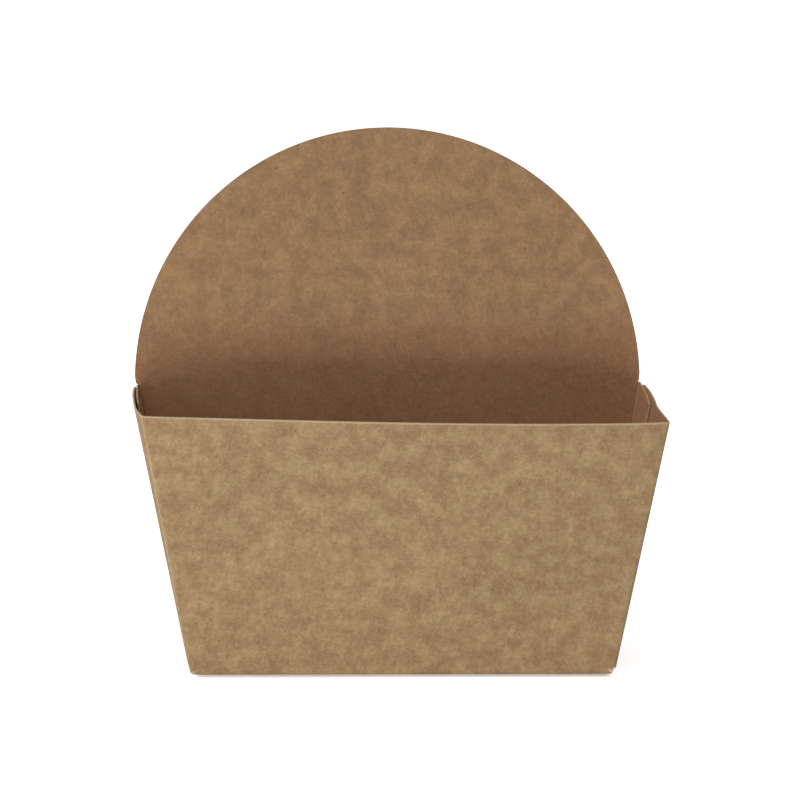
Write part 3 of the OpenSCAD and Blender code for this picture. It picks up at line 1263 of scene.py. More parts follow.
    def _cut_split(self, mesh: bpy.types.Mesh) -> None:
        """Cuts the short split in the right bottom corner of the front panel.

        Args:
            mesh: The sheet's mesh.
        """
        size = self.size
        tip = np.array([size.base_width / 2 - size.split_in, size.split_up])
        along = unit(np.array([1.0, -1.0]))
        across = np.array([-along[1], along[0]])
        work = bmesh.new()
        work.from_mesh(mesh)
        for sign in (-1, 1):
            side = along * size.split_length + sign * across * size.split_width / 2
            normal = Vector((-side[1], 0, side[0])) * sign
            faces = [face for face in work.faces if self._near_split(face, tip)]
            edges = {edge for face in faces for edge in face.edges}
            verts = {vert for face in faces for vert in face.verts}
            parts = [*faces, *edges, *verts]
            place = (tip[0], 0, tip[1])
            bmesh.ops.bisect_plane(work, geom=parts, dist=SNAP, plane_co=place, plane_no=normal)
        gone = []
        for face in [face for face in work.faces if self._near_split(face, tip)]:
            centre = face.calc_center_median()
            offset = np.array([centre.x, centre.z]) - tip
            depth = offset @ along
            if depth > 0 and abs(offset @ across) < size.split_width / 2 * depth / size.split_length:
                gone.append(face)
        bmesh.ops.delete(work, geom=gone, context="FACES")
        work.to_mesh(mesh)
        work.free()

    def _near_split(self, face: bmesh.types.BMFace, tip: np.ndarray) -> bool:
        """Whether a face is part of the front panel or its bottom fold, close to the split.

        Args:
            face: Face of the sheet.
            tip: The split's inner end, across and up.

        Returns:
            Whether the cut may touch the face.
        """
        centre = face.calc_center_median()
        reach = self.split_zone * self.size.split_length
        close = abs(centre.x - tip[0]) < reach and abs(centre.z - tip[1]) < reach
        facing = face.normal.y < -self.split_facing and abs(face.normal.x) < self.split_facing
        return close and facing and centre.y < 0

    def _mark(self, mesh: bpy.types.Mesh) -> None:
        """Writes each point's panel and its distances from a cut edge and a fold, in millimetres.

        Args:
            mesh: The sheet's mesh.
        """
        count = len(mesh.vertices)
        flat = np.zeros((count, 2))
        uv = np.zeros(len(mesh.loops) * 2, dtype=np.float32)
        mesh.uv_layers[FLAT_MAP].data.foreach_get("uv", uv)
        corner = np.zeros(len(mesh.loops), dtype=np.int32)
        mesh.loops.foreach_get("vertex_index", corner)
        flat[corner] = uv.reshape(-1, 2)
        folded = np.zeros(count, dtype=np.float32)
        mesh.attributes[FOLD].data.foreach_get("value", folded)
        sheet = bmesh.new()
        sheet.from_mesh(mesh)
        rim = np.array([v.index for v in sheet.verts if v.is_boundary])
        sheet.free()
        points = np.zeros(count * 3, dtype=np.float32)
        mesh.vertices.foreach_get("co", points)
        points = points.reshape(-1, 3)
        far = [self._distances(flat, flat[rim]), self._distances(flat, flat[folded > 0.5])]
        for name, values in zip((EDGE, FOLD, FRONT), (*far, self._panel_marks(points))):
            attribute = mesh.attributes.get(name) or mesh.attributes.new(name, "FLOAT", "POINT")
            attribute.data.foreach_set("value", values.astype(np.float32))

    def _distances(self, flat: np.ndarray, targets: np.ndarray) -> np.ndarray:
        """Distance of each place on the blank to the nearest target, in millimetres.

        Args:
            flat: Places on the flat blank.
            targets: Places to measure to.

        Returns:
            A distance for each place.
        """
        tree = KDTree(len(targets))
        for index, (u, v) in enumerate(targets):
            tree.insert((u, v, 0), index)
        tree.balance()
        return np.array([tree.find((u, v, 0))[2] for u, v in flat]) / MM

    def _panel_marks(self, points: np.ndarray) -> np.ndarray:
        """Marks the front panel's points with up to 1 and the back's with down to -1.

        Args:
            points: Points of the sheet.

        Returns:
            A mark for each point.
        """
        size = self.size
        x, y, z = points.T
        rear = self.rear_share(y, z)
        inside = size.base_width / 2 + size.widen * np.minimum(z, size.rim) - self.fade_inset - np.abs(x)
        fade = np.clip(inside / self.fade_width, 0, 1)
        fade = np.maximum(fade, np.clip((z - size.rim) / self.fade_above, 0, 1))
        back = np.where(rear > self.panel_share, -1.0, 0.0)
        return fade * np.where(rear < -self.panel_share, 1.0, back)

    def build(self, finishes: dict[Face, bpy.types.Material]) -> bpy.types.Object:
        """Builds the carton as one piece of board with its thickness.

        Args:
            finishes: A material for each of the board's surfaces.

        Returns:
            The finished piece.
        """
        source = bpy.data.objects.new("carton_skin", self.skin())
        show(source)
        for face in Face:
            source.data.materials.append(finishes[face])
        tree = SettleTree(self.size, self.settling, finishes[Face.OUTER])
        settle = source.modifiers.new("settle", "NODES")
        settle.node_group = tree.build()
        set_inputs(settle, tree.values())
        thick = source.modifiers.new("board", "SOLIDIFY")
        thick.thickness = self.size.board
        thick.offset = -1
        thick.use_even_offset = False
        thick.material_offset = Face.INNER.value
        thick.material_offset_rim = Face.CUT.value
        piece = baked(source, "kraft_board_carton")
        self._dress(piece.data, finishes)
        return piece

    def _dress(self, mesh: bpy.types.Mesh, finishes: dict[Face, bpy.types.Material]) -> None:
        """Gives the three surfaces their materials and keeps the cut edges sharp.

        Args:
            mesh: The piece's mesh.
            finishes: A material for each of the board's surfaces.
        """
        slots = np.zeros(len(mesh.polygons), dtype=np.int32)
        mesh.polygons.foreach_get("material_index", slots)
        mesh.materials.clear()
        for face in Face:
            mesh.materials.append(finishes[face])
        mesh.polygons.foreach_set("material_index", slots)
        mesh.polygons.foreach_set("use_smooth", np.ones(len(mesh.polygons), dtype=bool))
        mesh.set_sharp_from_angle(angle=math.radians(self.sharp_angle))
        layer = np.zeros(len(mesh.vertices), dtype=np.float32)
        layer[len(layer) // 2:] = 1
        mesh.attributes.new(LAYER, "FLOAT", "POINT").data.foreach_set("value", layer)
        mesh.update()


@dataclass
class LooseFibres:
    """Short loose fibres that lie on the board, scattered by Geometry Nodes."""

    finish: bpy.types.Material
    thickness: float = 0.035 * MM
    bow: float = 0.25
    length: float = 1.3 * MM
    spread: float = 0.55
    per_square_metre: float = 9000.0
    lift: float = 0.01 * MM
    lowest: float = 2.0 * MM
    seed: int = 11
    steps: int = 5
    sides: int = 3
    bend_place: float = 0.1

    def values(self) -> dict[str, float | bpy.types.Material]:
        """The sizes that the tree's named inputs are set to.

        Returns:
            A value for each name of an input.
        """
        return {
            "Thickness": self.thickness,
            "Bow": self.bow,
            "Length": self.length,
            "Spread": self.spread,
            "Density": self.per_square_metre,
            "Lift": self.lift,
            "Lowest": self.lowest,
            "Seed": self.seed,
            "Finish": self.finish,
        }

    def tree(self) -> bpy.types.NodeTree:
        """Builds the tree.

        Returns:
            A tree that scatters bent fibres over a mesh and ends in Realize Instances and Set Material.
        """
        kinds = {"Seed": "NodeSocketInt", "Finish": "NodeSocketMaterial"}
        tree = new_tree("loose_fibres", self.values(), kinds)
        kit = NodeKit(tree)
        given = kit.add("NodeGroupInput").outputs
        scatter = kit.add("GeometryNodeDistributePointsOnFaces")
        kit.put(scatter.inputs["Mesh"], given["Geometry"])
        kit.put(scatter.inputs["Density"], given["Density"])
        kit.put(scatter.inputs["Seed"], given["Seed"])
        place = kit.add("ShaderNodeSeparateXYZ")
        kit.put(place.inputs[0], kit.add("GeometryNodeInputPosition").outputs[0])
        high = kit.math("GREATER_THAN", place.outputs["Z"], given["Lowest"])
        kit.put(scatter.inputs["Selection"], high)
        raised = kit.add("GeometryNodeSetPosition")
        kit.put(raised.inputs["Geometry"], scatter.outputs["Points"])
        kit.put(raised.inputs["Offset"], kit.toned(scatter.outputs["Normal"], given["Lift"]))
        placed = kit.add("GeometryNodeInstanceOnPoints")
        kit.put(placed.inputs["Points"], raised.outputs[0])
        kit.put(placed.inputs["Instance"], self._fibre(kit, given))
        kit.put(placed.inputs["Rotation"], scatter.outputs["Rotation"])
        kit.put(placed.inputs["Scale"], self._random(kit, given))
        spun = kit.add("GeometryNodeRotateInstances")
        kit.put(spun.inputs["Instances"], placed.outputs[0])
        turn = kit.add("FunctionNodeRandomValue", data_type="FLOAT")
        kit.put(turn.inputs[3], 2 * math.pi)
        kit.put(turn.inputs["Seed"], given["Seed"])
        about = kit.add("ShaderNodeCombineXYZ")
        kit.put(about.inputs[2], turn.outputs[1])
        kit.put(spun.inputs["Rotation"], about.outputs[0])
        finish_tree(kit, spun.outputs[0], given["Finish"])
        return tree

    def _fibre(self, kit: NodeKit, given: Sockets) -> Socket:
        """One bent fibre of three sides, lying flat.

        Args:
            kit: Node kit of the tree.
            given: The tree's inputs.

        Returns:
            The fibre's mesh.
        """
        line = kit.add("GeometryNodeCurveQuadraticBezier")
        kit.put(line.inputs["Resolution"], self.steps)
        for index, share in enumerate((-0.5, self.bend_place, 0.5)):
            point = kit.add("ShaderNodeCombineXYZ")
            kit.put(point.inputs[0], kit.math("MULTIPLY", given["Length"], share))
            bow = 1.0 if index == 1 else 0.0
            aside = kit.math("MULTIPLY", given["Length"], given["Bow"])
            kit.put(point.inputs[1], kit.math("MULTIPLY", aside, bow))
            kit.put(line.inputs[1 + index], point.outputs[0])
        profile = kit.add("GeometryNodeCurvePrimitiveCircle")
        kit.put(profile.inputs["Resolution"], self.sides)
        kit.put(profile.inputs["Radius"], given["Thickness"])
        tube = kit.add("GeometryNodeCurveToMesh")
        kit.put(tube.inputs["Curve"], line.outputs[0])
        kit.put(tube.inputs["Profile Curve"], profile.outputs[0])
        tube.inputs["Fill Caps"].default_value = True
        return tube.outputs[0]

    def _random(self, kit: NodeKit, given: Sockets) -> Socket:
        """A random scale for each fibre.

        Args:
            kit: Node kit of the tree.
            given: The tree's inputs.

        Returns:
            The output socket.
        """
        node = kit.add("FunctionNodeRandomValue", data_type="FLOAT")
        kit.put(node.inputs[2], kit.math("SUBTRACT", 1.0, given["Spread"]))
        kit.put(node.inputs[3], kit.math("ADD", 1.0, given["Spread"]))
        kit.put(node.inputs["Seed"], given["Seed"])
        return node.outputs[1]

    def build(self, carton: bpy.types.Object) -> bpy.types.Object:
        """Scatters the fibres over the carton.

        Args:
            carton: The finished carton.

        Returns:
            The fibres as one piece.
        """
        source = bpy.data.objects.new("fibre_field", carton.data.copy())
        show(source)
        scatter = source.modifiers.new("scatter", "NODES")
        scatter.node_group = self.tree()
        set_inputs(scatter, self.values())
        return baked(source, "kraft_loose_fibres")


@dataclass(frozen=True)
class FibreFinish:
    """Loose pulp fibres, each a little lighter or darker than the next."""

    name: str
    pale: Triple
    dark: Triple
    change: float = 4.0 * MM
    change_edge: Pair = (0.4, 0.6)
    roughness: float = 0.8

    def build(self) -> bpy.types.Material:
        """Builds the material, which reads the places of the fibres on the object.

        Returns:
            The finished material.
        """
        material, kit, shader = new_finish(self.name)
        place = kit.add("ShaderNodeTexCoord").outputs["Object"]
        share = kit.ramp(kit.noise(place, self.change), *self.change_edge)
        kit.put(shader.inputs["Base Color"], kit.blend(self.dark, self.pale, share))
        shader.inputs["Roughness"].default_value = self.roughness
        return material


@dataclass(frozen=True)
class Fleck:
    """A fleck or stray hair in the pulp, in millimetres on the flat blank."""

    across: float
    up: float
    length: float = 0.75
    width: float = 0.6
    turn: float = 0.0
    depth: float = 0.45
    blur: Pair = (0.5, 1.2)


@dataclass(frozen=True)
class FibreLayer:
    """Fibres that lie one way, in degrees from the blank's width, with their size in millimetres."""

    turn: float
    length: float
    width: float
    light: float
    dark: float


@dataclass(frozen=True)
class KraftFinish:
    """Brown kraft board: colours, fibres, edge wear and painted light of one of its faces. Lengths are
    in millimetres.
    """

    name: str
    pale: Triple
    dark: Triple
    # Pale colour beside the cut edges: wear together with a painted highlight on the edge's rounded
    # shoulder.
    worn_highlight: Triple
    shift: Pair
    fibres: tuple[FibreLayer, ...]
    flecks: tuple[Fleck, ...] = ()
    cloud_size: float = 34.0
    cloud_depth: float = 0.22
    patch_size: float = 5.5
    patch_edge: Pair = (0.33, 0.67)
    bend_size: float = 3.2
    bend_reach: float = 1.5
    fibre_depth: float = 0.5
    fibre_light: Pair = (0.53, 0.72)
    fibre_dark: Pair = (0.28, 0.47)
    fibre_shift: Pair = (17.0, -29.0)
    flock_size: float = 1.7
    flock_depth: float = 0.32
    grain_size: float = 0.32
    grain_depth: float = 0.05
    speck_size: float = 3.4
    speck_edge: Pair = (0.11, 0.04)
    speck_depth: float = 0.16
    speck_mean: float = 0.55
    wear_highlight_width: float = 0.5
    wear_highlight_depth: float = 0.55
    wear_highlight_full: float = 0.35
    rag_size: float = 1.1
    rag_depth: float = 0.8
    # Painted shading of each fold's relief: its groove darker, the lip beside it lighter.
    crease_shading_depth: float = 0.16
    groove_width: float = 0.35
    lip_place: float = 0.55
    lip_width: float = 0.3
    # Painted shade along the round top's cut edge, above shade_from up the blank.
    shade_from: float = 1000.0
    shade_depth: float = 0.3
    shade_edge: Pair = (0.15, 0.5)
    # Painted shade: a darker, redder colour for the board low in the pocket, in place of its dim bounced
    # light.
    deep: Triple = (0.37, 0.168, 0.078)
    pocket_shade_share: float = 0.0
    pocket_shade_full: float = 92.0
    pocket_shade_end: float = 112.0
    rough: Pair = (0.8, 0.93)
    specular: float = 0.35
    relief: float = 0.035 * MM
    relief_strength: float = 0.25
    fibre_relief: float = 3.0

    def build(self) -> bpy.types.Material:
        """Builds the material.

        Returns:
            A material that reads the board's flat map and its edge and fold distances.
        """
        material, kit, shader = new_finish(self.name)
        flat = kit.flat()
        place = kit.framed(flat, self.shift, 0.0, (1.0, 1.0))
        patches = kit.ramp(kit.noise(place, self.patch_size, detail=4.0), *self.patch_edge)
        fibres = kit.math("MULTIPLY", self._fibres(kit, place), self.fibre_depth)
        grain = kit.math("SUBTRACT", kit.noise(place, self.grain_size), 0.5)
        tone = self._tone(kit, place, fibres, grain)
        # Painted shade and highlight at the folds, and painted shade along the round top's edge.
        tone = kit.math("MULTIPLY", tone, self._painted_fold_and_edge_shade(kit, flat))
        for fleck in self.flecks:
            tone = kit.math("MULTIPLY", tone, self._fleck(kit, flat, fleck))
        colour = kit.blend(self.dark, self.pale, patches)
        # Painted shade: darker and redder low down, standing in for the pocket's interreflected light.
        colour = kit.blend(colour, self.deep, self._painted_pocket_shade(kit, flat))
        # Paler beside the cut edges: wear together with a painted rim highlight.
        colour = kit.blend(kit.toned(colour, tone), self.worn_highlight, self._wear_and_highlight(kit, place))
        kit.put(shader.inputs["Base Color"], colour)
        kit.put(shader.inputs["Roughness"], kit.ramp(patches, 0.0, 1.0, self.rough))
        shader.inputs["Specular IOR Level"].default_value = self.specular
        kit.put(shader.inputs["Normal"], self._bump(kit, fibres, grain))
        return material

    def _distance(self, kit: NodeKit, name: str) -> Socket:
        """Distance to the nearest cut edge or fold, in millimetres."""
        return kit.add("ShaderNodeAttribute", attribute_name=name).outputs["Fac"]

    def _fibres(self, kit: NodeKit, place: Socket) -> Socket:
        """Curved fibres that lie in all directions.

        Args:
            kit: Node kit of the material.
            place: Places on the blank.

        Returns:
            How much lighter or darker the fibres make each place.
        """
        bend = kit.add("ShaderNodeTexNoise")
        kit.put(bend.inputs["Vector"], place)
        kit.put(bend.inputs["Scale"], 1.0 / self.bend_size)
        centred = kit.add("ShaderNodeVectorMath", operation="SUBTRACT")
        kit.put(centred.inputs[0], bend.outputs["Color"])
        kit.put(centred.inputs[1], (0.5, 0.5, 0.5))
        reach = kit.add("ShaderNodeVectorMath", operation="MULTIPLY_ADD")
        kit.put(reach.inputs[0], centred.outputs[0])
        kit.put(reach.inputs[1], (self.bend_reach, self.bend_reach, 0.0))
        kit.put(reach.inputs[2], place)
        total = None
        for number, layer in enumerate(self.fibres):
            start = (self.fibre_shift[0] * number, self.fibre_shift[1] * number)
            strand = kit.framed(reach.outputs[0], start, layer.turn, (layer.length, layer.width))
            value = kit.noise(strand, 1.0, detail=0.0)
            light = kit.ramp(value, *self.fibre_light, (0.0, layer.light))
            both = kit.math("ADD", light, kit.ramp(value, *self.fibre_dark, (-layer.dark, 0.0)))
            total = both if total is None else kit.math("ADD", total, both)
        return total

    def _tone(self, kit: NodeKit, place: Socket, fibres: Socket, grain: Socket) -> Socket:
        """The board's tone: broad clouds, fibres, grain and small specks.

        Args:
            kit: Node kit of the material.
            place: Places on the blank.
            fibres: Tone of the fibres.
            grain: Tone of the grain, about 0.

        Returns:
            A factor for the colour.
        """
        clouds = kit.math("SUBTRACT", kit.noise(place, self.cloud_size, detail=1.0), 0.5)
        tone = kit.math("ADD", kit.math("MULTIPLY", clouds, self.cloud_depth), 1.0)
        tone = kit.math("ADD", tone, fibres)
        tone = kit.math("ADD", tone, kit.math("MULTIPLY", grain, self.grain_depth))
        flock = kit.math("SUBTRACT", kit.noise(place, self.flock_size), 0.5)
        tone = kit.math("ADD", tone, kit.math("MULTIPLY", flock, self.flock_depth))
        cells = kit.add("ShaderNodeTexVoronoi")
        kit.put(cells.inputs["Vector"], place)
        kit.put(cells.inputs["Scale"], 1.0 / self.speck_size)
        near = kit.ramp(cells.outputs["Distance"], *self.speck_edge)
        shade = kit.add("ShaderNodeSeparateXYZ")
        kit.put(shade.inputs[0], cells.outputs["Color"])
        depth = kit.math("SUBTRACT", shade.outputs[0], self.speck_mean)
        depth = kit.math("MULTIPLY", depth, 2 * self.speck_depth)
        return kit.math("ADD", tone, kit.math("MULTIPLY", near, depth))

    def _painted_fold_and_edge_shade(self, kit: NodeKit, flat: Socket) -> Socket:
        """Painted shade in the groove of each pressed fold with a painted highlight on the lip beside
        it, and painted shade along the cut edge of the round top.

        Args:
            kit: Node kit of the material.
            flat: Places on the flat blank.

        Returns:
            A factor for the colour.
        """
        fold = self._distance(kit, FOLD)
        groove_shade = kit.ramp(fold, 0.0, self.groove_width, (-self.crease_shading_depth, 0.0))
        beside = kit.math("ABSOLUTE", kit.math("SUBTRACT", fold, self.lip_place))
        lip_highlight = kit.ramp(beside, 0.0, self.lip_width, (self.crease_shading_depth / 2, 0.0))
        spread = kit.add("ShaderNodeSeparateXYZ")
        kit.put(spread.inputs[0], flat)
        top = kit.ramp(spread.outputs[1], self.shade_from, self.shade_from + 1.0)
        # Painted shade within a fraction of a millimetre of the round top's cut edge.
        shaded = kit.ramp(self._distance(kit, EDGE), *self.shade_edge, (self.shade_depth, 0.0))
        tone = kit.math("ADD", kit.math("ADD", groove_shade, lip_highlight), 1.0)
        return kit.math("SUBTRACT", tone, kit.math("MULTIPLY", top, shaded))

    def _painted_pocket_shade(self, kit: NodeKit, flat: Socket) -> Socket:
        """How much painted shade darkens and reddens the board up to a little above the rim, standing in
        for the pocket's dim, interreflected light.

        Args:
            kit: Node kit of the material.
            flat: Places on the flat blank.

        Returns:
            The share of the painted shade colour.
        """
        spread = kit.add("ShaderNodeSeparateXYZ")
        kit.put(spread.inputs[0], flat)
        up = kit.math("ABSOLUTE", spread.outputs[1])
        return kit.ramp(up, self.pocket_shade_full, self.pocket_shade_end, (self.pocket_shade_share, 0.0))

    def _fleck(self, kit: NodeKit, flat: Socket, fleck: Fleck) -> Socket:
        """Tone of one fleck: 1 away from it and darker inside.

        Args:
            kit: Node kit of the material.
            flat: Places on the flat blank.
            fleck: The fleck's place, size and depth.

        Returns:
            A factor for the colour.
        """
        half = (fleck.length / 2, fleck.width / 2)
        local = kit.framed(flat, (fleck.across, fleck.up), fleck.turn, half)
        reach = kit.add("ShaderNodeVectorMath", operation="LENGTH")
        kit.put(reach.inputs[0], local)
        return kit.ramp(reach.outputs["Value"], *fleck.blur, (1 - fleck.depth, 1.0))

    def _wear_and_highlight(self, kit: NodeKit, place: Socket) -> Socket:
        """How far the board is paled beside its cut edges: partly rubbed wear, partly a painted
        highlight where the edge's rounded shoulder catches the light.

        Args:
            kit: Node kit of the material.
            place: Places on the blank.

        Returns:
            The share of the pale colour of wear and painted highlight.
        """
        ragged = kit.math("SUBTRACT", kit.noise(place, self.rag_size), 0.5)
        ragged = kit.math("MULTIPLY", ragged, self.rag_depth * self.wear_highlight_width)
        near = kit.math("ADD", self._distance(kit, EDGE), ragged)
        return kit.ramp(near, self.wear_highlight_full * self.wear_highlight_width, self.wear_highlight_width, (self.wear_highlight_depth, 0.0))

    def _bump(self, kit: NodeKit, fibres: Socket, grain: Socket) -> Socket:
        """The slight relief of the fibres and the grain.

        Args:
            kit: Node kit of the material.
            fibres: Tone of the fibres.
            grain: Tone of the grain.

        Returns:
            The bent normal.
        """
        node = kit.add("ShaderNodeBump")
        raised = kit.math("MULTIPLY", fibres, self.fibre_relief)
        kit.put(node.inputs["Height"], kit.math("ADD", raised, grain))
        kit.put(node.inputs["Distance"], self.relief)
        kit.put(node.inputs["Strength"], self.relief_strength)
        return node.outputs[0]


@dataclass(frozen=True)
class CutEdgeFinish:
    """The cut edge of the board: paler pulp in thin layers. Lengths are in millimetres."""

    name: str
    pale: Triple
    dark: Triple
    layer_count: float = 5.0
    layer_edge: float = 0.3
    fuzz_size: float = 0.5
    fuzz_depth: float = 0.35
    roughness: float = 0.95

    def build(self) -> bpy.types.Material:
        """Builds the material.

        Returns:
            A material that reads how deep in the board each place is.
        """
        material, kit, shader = new_finish(self.name)
        fuzz = kit.math("SUBTRACT", kit.noise(kit.flat(), self.fuzz_size, detail=3.0), 0.5)
        depth = kit.add("ShaderNodeAttribute", attribute_name=LAYER).outputs["Fac"]
        wavering = kit.math("ADD", kit.math("MULTIPLY", depth, self.layer_count), fuzz)
        layers = kit.math("ABSOLUTE", kit.math("SUBTRACT", kit.math("FRACT", wavering), 0.5))
        colour = kit.blend(self.dark, self.pale, kit.ramp(layers, 0.0, self.layer_edge))
        tone = kit.math("ADD", kit.math("MULTIPLY", fuzz, self.fuzz_depth), 1.0)
        kit.put(shader.inputs["Base Color"], kit.toned(colour, tone))
        shader.inputs["Roughness"].default_value = self.roughness
        return material


@dataclass(frozen=True)
class Studio:
    """The photograph's viewpoint, the pale floor and the soft lamps. Lengths are in metres."""

    azimuth: float = -5.483
    elevation: float = 10.497
    roll: float = 1.221
    distance: float = 1.19127
    lens: float = 198.55
    sensor: float = 36.0
    target: Triple = (-0.001203, 0.0, 0.072501)
    ambient: float = 0.12
    floor_colour: Triple = (0.85, 0.84, 0.83)
    floor_rough: float = 0.9
    floor_reach: float = 3.0
    floor_glow: float = 0.82
    glow_edge: Pair = (0.06, 0.3)
    # Glow left in the painted contact shadow round the base.
    painted_shadow_glow: float = 0.15
    contact_edge: Pair = (0.0165, 0.0195)
    contact_side: float = 0.038

    def add_camera(self) -> None:
        """Adds the camera at the photograph's viewing angle."""
        azimuth, elevation, roll = (math.radians(a) for a in (self.azimuth, self.elevation, self.roll))
        back = Vector((
            math.sin(azimuth) * math.cos(elevation),
            -math.cos(azimuth) * math.cos(elevation),
            math.sin(elevation),
        ))
        right = Vector((0, 0, 1)).cross(back).normalized()
        up = back.cross(right)
        across = right * math.cos(roll) + up * math.sin(roll)
        upward = up * math.cos(roll) - right * math.sin(roll)
        camera = bpy.data.objects.new("camera", bpy.data.cameras.new("camera"))
        camera.data.lens = self.lens
        camera.data.sensor_width = self.sensor
        turn = Matrix((across, upward, back)).transposed().to_4x4()
        camera.matrix_world = Matrix.Translation(Vector(self.target) + back * self.distance) @ turn
        show(camera)
        bpy.context.scene.camera = camera

    def add_floor(self) -> None:
        """Adds the pale floor. It keeps the object's shadow, darkens a band round the base into a
        painted contact shadow, and turns white to the eye away from it.
        """
        mesh = bpy.data.meshes.new("floor")
        far = self.floor_reach
        corners = [(-far, -far, 0), (far, -far, 0), (far, far, 0), (-far, far, 0)]
        mesh.from_pydata(corners, [], [(0, 1, 2, 3)])
        floor = bpy.data.objects.new("floor", mesh)
        show(floor)
        material, kit, shader = new_finish("pale_floor")
        shader.inputs["Base Color"].default_value = (*self.floor_colour, 1)
        shader.inputs["Roughness"].default_value = self.floor_rough
        shader.inputs["Emission Color"].default_value = (1, 1, 1, 1)
        place = kit.add("ShaderNodeTexCoord").outputs["Object"]
        away = kit.add("ShaderNodeVectorMath", operation="LENGTH")
        kit.put(away.inputs[0], place)
        glow = kit.ramp(away.outputs["Value"], *self.glow_edge, (self.floor_glow, 1.0))
        # Painted contact shadow: the glow seen by the camera drops in a band hugging the base's outline.
        axes = kit.add("ShaderNodeSeparateXYZ")
        kit.put(axes.inputs[0], place)
        ahead = kit.math("ABSOLUTE", axes.outputs["Y"])
        beside = kit.math("SUBTRACT", kit.math("ABSOLUTE", axes.outputs["X"]), self.contact_side)
        ahead = kit.math("MAXIMUM", ahead, beside)
        shadow = kit.ramp(ahead, *self.contact_edge, (self.painted_shadow_glow, 1.0))
        glow = kit.math("MULTIPLY", glow, shadow)
        path = kit.add("ShaderNodeLightPath")
        seen = kit.math("MAXIMUM", path.outputs["Is Camera Ray"], path.outputs["Is Glossy Ray"])
        kit.put(shader.inputs["Emission Strength"], kit.math("MULTIPLY", seen, glow))
        mesh.materials.append(material)

    def add_world(self) -> None:
        """Adds a white surround, dimmer as a light than it is to the eye."""
        world = bpy.data.worlds.new("studio")
        bpy.context.scene.world = world
        world.use_nodes = True
        kit = NodeKit(world.node_tree)
        ground = world.node_tree.nodes["Background"]
        path = kit.add("ShaderNodeLightPath")
        seen = kit.math("MAXIMUM", path.outputs["Is Camera Ray"], path.outputs["Is Glossy Ray"])
        seen = kit.math("MAXIMUM", seen, path.outputs["Is Transmission Ray"])
        ground.inputs["Color"].default_value = (1, 1, 1, 1)
        extra = kit.math("MULTIPLY", seen, 1 - self.ambient)
        kit.put(ground.inputs["Strength"], kit.math("ADD", extra, self.ambient))


@dataclass(frozen=True)
class Softbox:
    """A soft lamp of the studio. Lengths are in metres and power in watts."""

    name: str
    place: Triple
    aim: Triple
    width: float
    height: float
    power: float

    def add(self) -> None:
        """Adds the lamp, turned to what it lights and hidden from the camera itself."""
        lamp = bpy.data.lights.new(self.name, "AREA")
        lamp.shape = "RECTANGLE"
        lamp.size = self.width
        lamp.size_y = self.height
        lamp.energy = self.power
        holder = bpy.data.objects.new(self.name, lamp)
        holder.location = self.place
        toward = Vector(self.aim) - Vector(self.place)
        holder.rotation_euler = toward.to_track_quat("-Z", "Y").to_euler()
        holder.visible_camera = False
        show(holder)


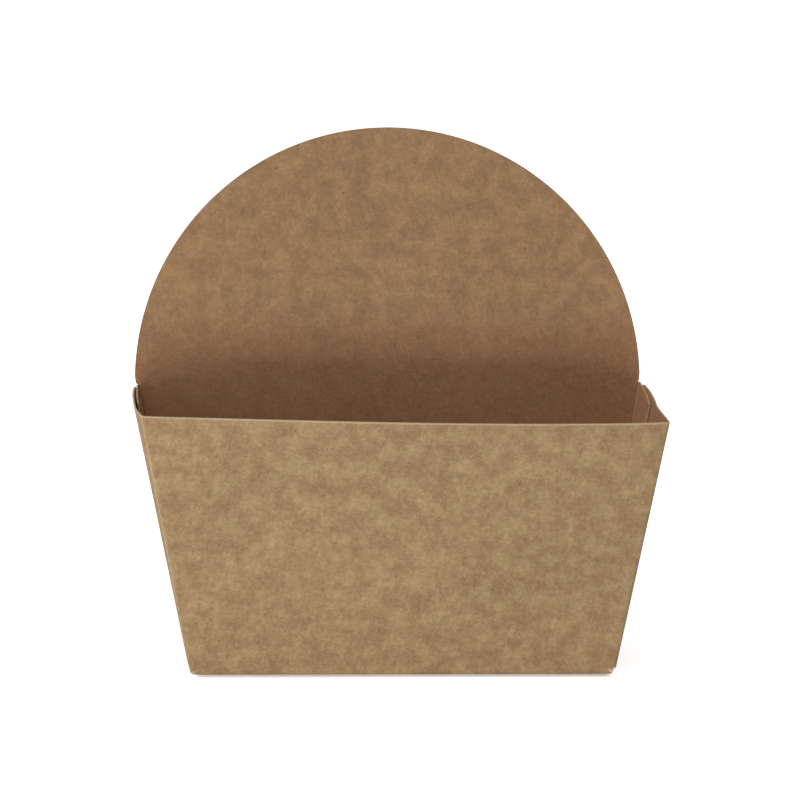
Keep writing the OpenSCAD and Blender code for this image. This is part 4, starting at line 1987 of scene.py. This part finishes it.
def board_finishes() -> dict[Face, bpy.types.Material]:
    """Builds the materials of the board's outer face, inner face and cut edge.

    Returns:
        A material for each of the board's surfaces.
    """
    fibres = (
        FibreLayer(turn=12, length=2.8, width=0.62, light=0.15, dark=0.12),
        FibreLayer(turn=58, length=2.5, width=0.55, light=0.14, dark=0.12),
        FibreLayer(turn=104, length=3.2, width=0.68, light=0.14, dark=0.13),
        FibreLayer(turn=151, length=2.4, width=0.55, light=0.15, dark=0.11),
    )
    outer_flecks = (
        Fleck(29.95, -71.2),
        Fleck(64.33, -70.32, length=2.2, width=0.3, turn=62, depth=0.25),
        Fleck(58.92, -87.95, length=0.95, width=0.4, turn=125, depth=0.4),
    )
    inner_flecks = (
        Fleck(-30.91, 147.27),
        Fleck(-12.43, 140.39, length=0.9),
        Fleck(16.61, 113.32, width=0.7),
        Fleck(38.08, 125.18),
        Fleck(35.87, 134.87, length=1.3, width=0.35, turn=35, depth=0.35),
    )
    outer = KraftFinish(
        name="kraft_outer",
        pale=(0.423, 0.292, 0.152),
        dark=(0.323, 0.198, 0.1),
        worn_highlight=(0.58, 0.43, 0.255),
        shift=(210.0, 340.0),
        fibres=fibres,
        flecks=outer_flecks,
        # A strong pale band at the outer face's cut edges: wear and painted rim highlight.
        wear_highlight_depth=0.85,
        # No painted fold shading on the outer face.
        crease_shading_depth=0.0,
    )
    # The inner face's darker colours are partly the board's own darker inner side and partly painted
    # shade, keeping the inside of the back dimmer than the lit front.
    inner = KraftFinish(
        name="kraft_inner",
        pale=(0.397, 0.239, 0.119),
        dark=(0.303, 0.171, 0.086),
        worn_highlight=(0.5, 0.34, 0.2),
        shift=(-170.0, 95.0),
        fibres=fibres,
        flecks=inner_flecks,
        fibre_depth=0.4,
        flock_depth=0.26,
        wear_highlight_depth=0.3,
        shade_from=90.0,
        # Painted pocket shade on the inner face, at half strength.
        pocket_shade_share=0.5,
    )
    cut = CutEdgeFinish("kraft_cut_edge", pale=(0.68, 0.51, 0.32), dark=(0.52, 0.37, 0.22))
    return {Face.OUTER: outer.build(), Face.INNER: inner.build(), Face.CUT: cut.build()}


def main() -> None:
    """Builds the carton and its studio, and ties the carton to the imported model."""
    logging.basicConfig(level=logging.INFO, format="%(name)s: %(message)s")
    finishes = board_finishes()
    carton = Carton(CartonSize(), Settling()).build(finishes)
    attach(carton, BODY)
    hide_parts(NODE)
    LOG.info("carton: %d faces", len(carton.data.polygons))
    fibre_finish = FibreFinish("kraft_fibre", pale=(0.5, 0.36, 0.2), dark=(0.22, 0.13, 0.07)).build()
    fibres = LooseFibres(fibre_finish).build(carton)
    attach(fibres, BODY)
    LOG.info("loose fibres: %d faces", len(fibres.data.polygons))
    studio = Studio()
    studio.add_camera()
    studio.add_floor()
    studio.add_world()
    middle = (0.0, 0.0, 0.06)
    softboxes = (
        Softbox("low_far_softbox", (-0.1, -0.48, 0.022), (0.0, 0.0, 0.08), 0.9, 0.036, 0.57),
        Softbox("low_near_softbox", (-0.05, -0.28, 0.012), (0.0, 0.0, 0.05), 0.6, 0.02, 0.25),
        Softbox("front_softbox", (-0.35, -1.3, 0.35), middle, 1.2, 0.7, 1.6),
        Softbox("top_softbox", (-0.3, -0.4, 1.2), middle, 1.0, 1.0, 6.3),
        Softbox("left_softbox", (-1.1, -0.12, 0.2), middle, 0.6, 0.6, 5.0),
    )
    for softbox in softboxes:
        softbox.add()
    bpy.context.scene.view_settings.view_transform = "Standard"
    LOG.info("studio: camera, floor and %d lamps", len(softboxes))


if __name__ == "__main__":
    main()
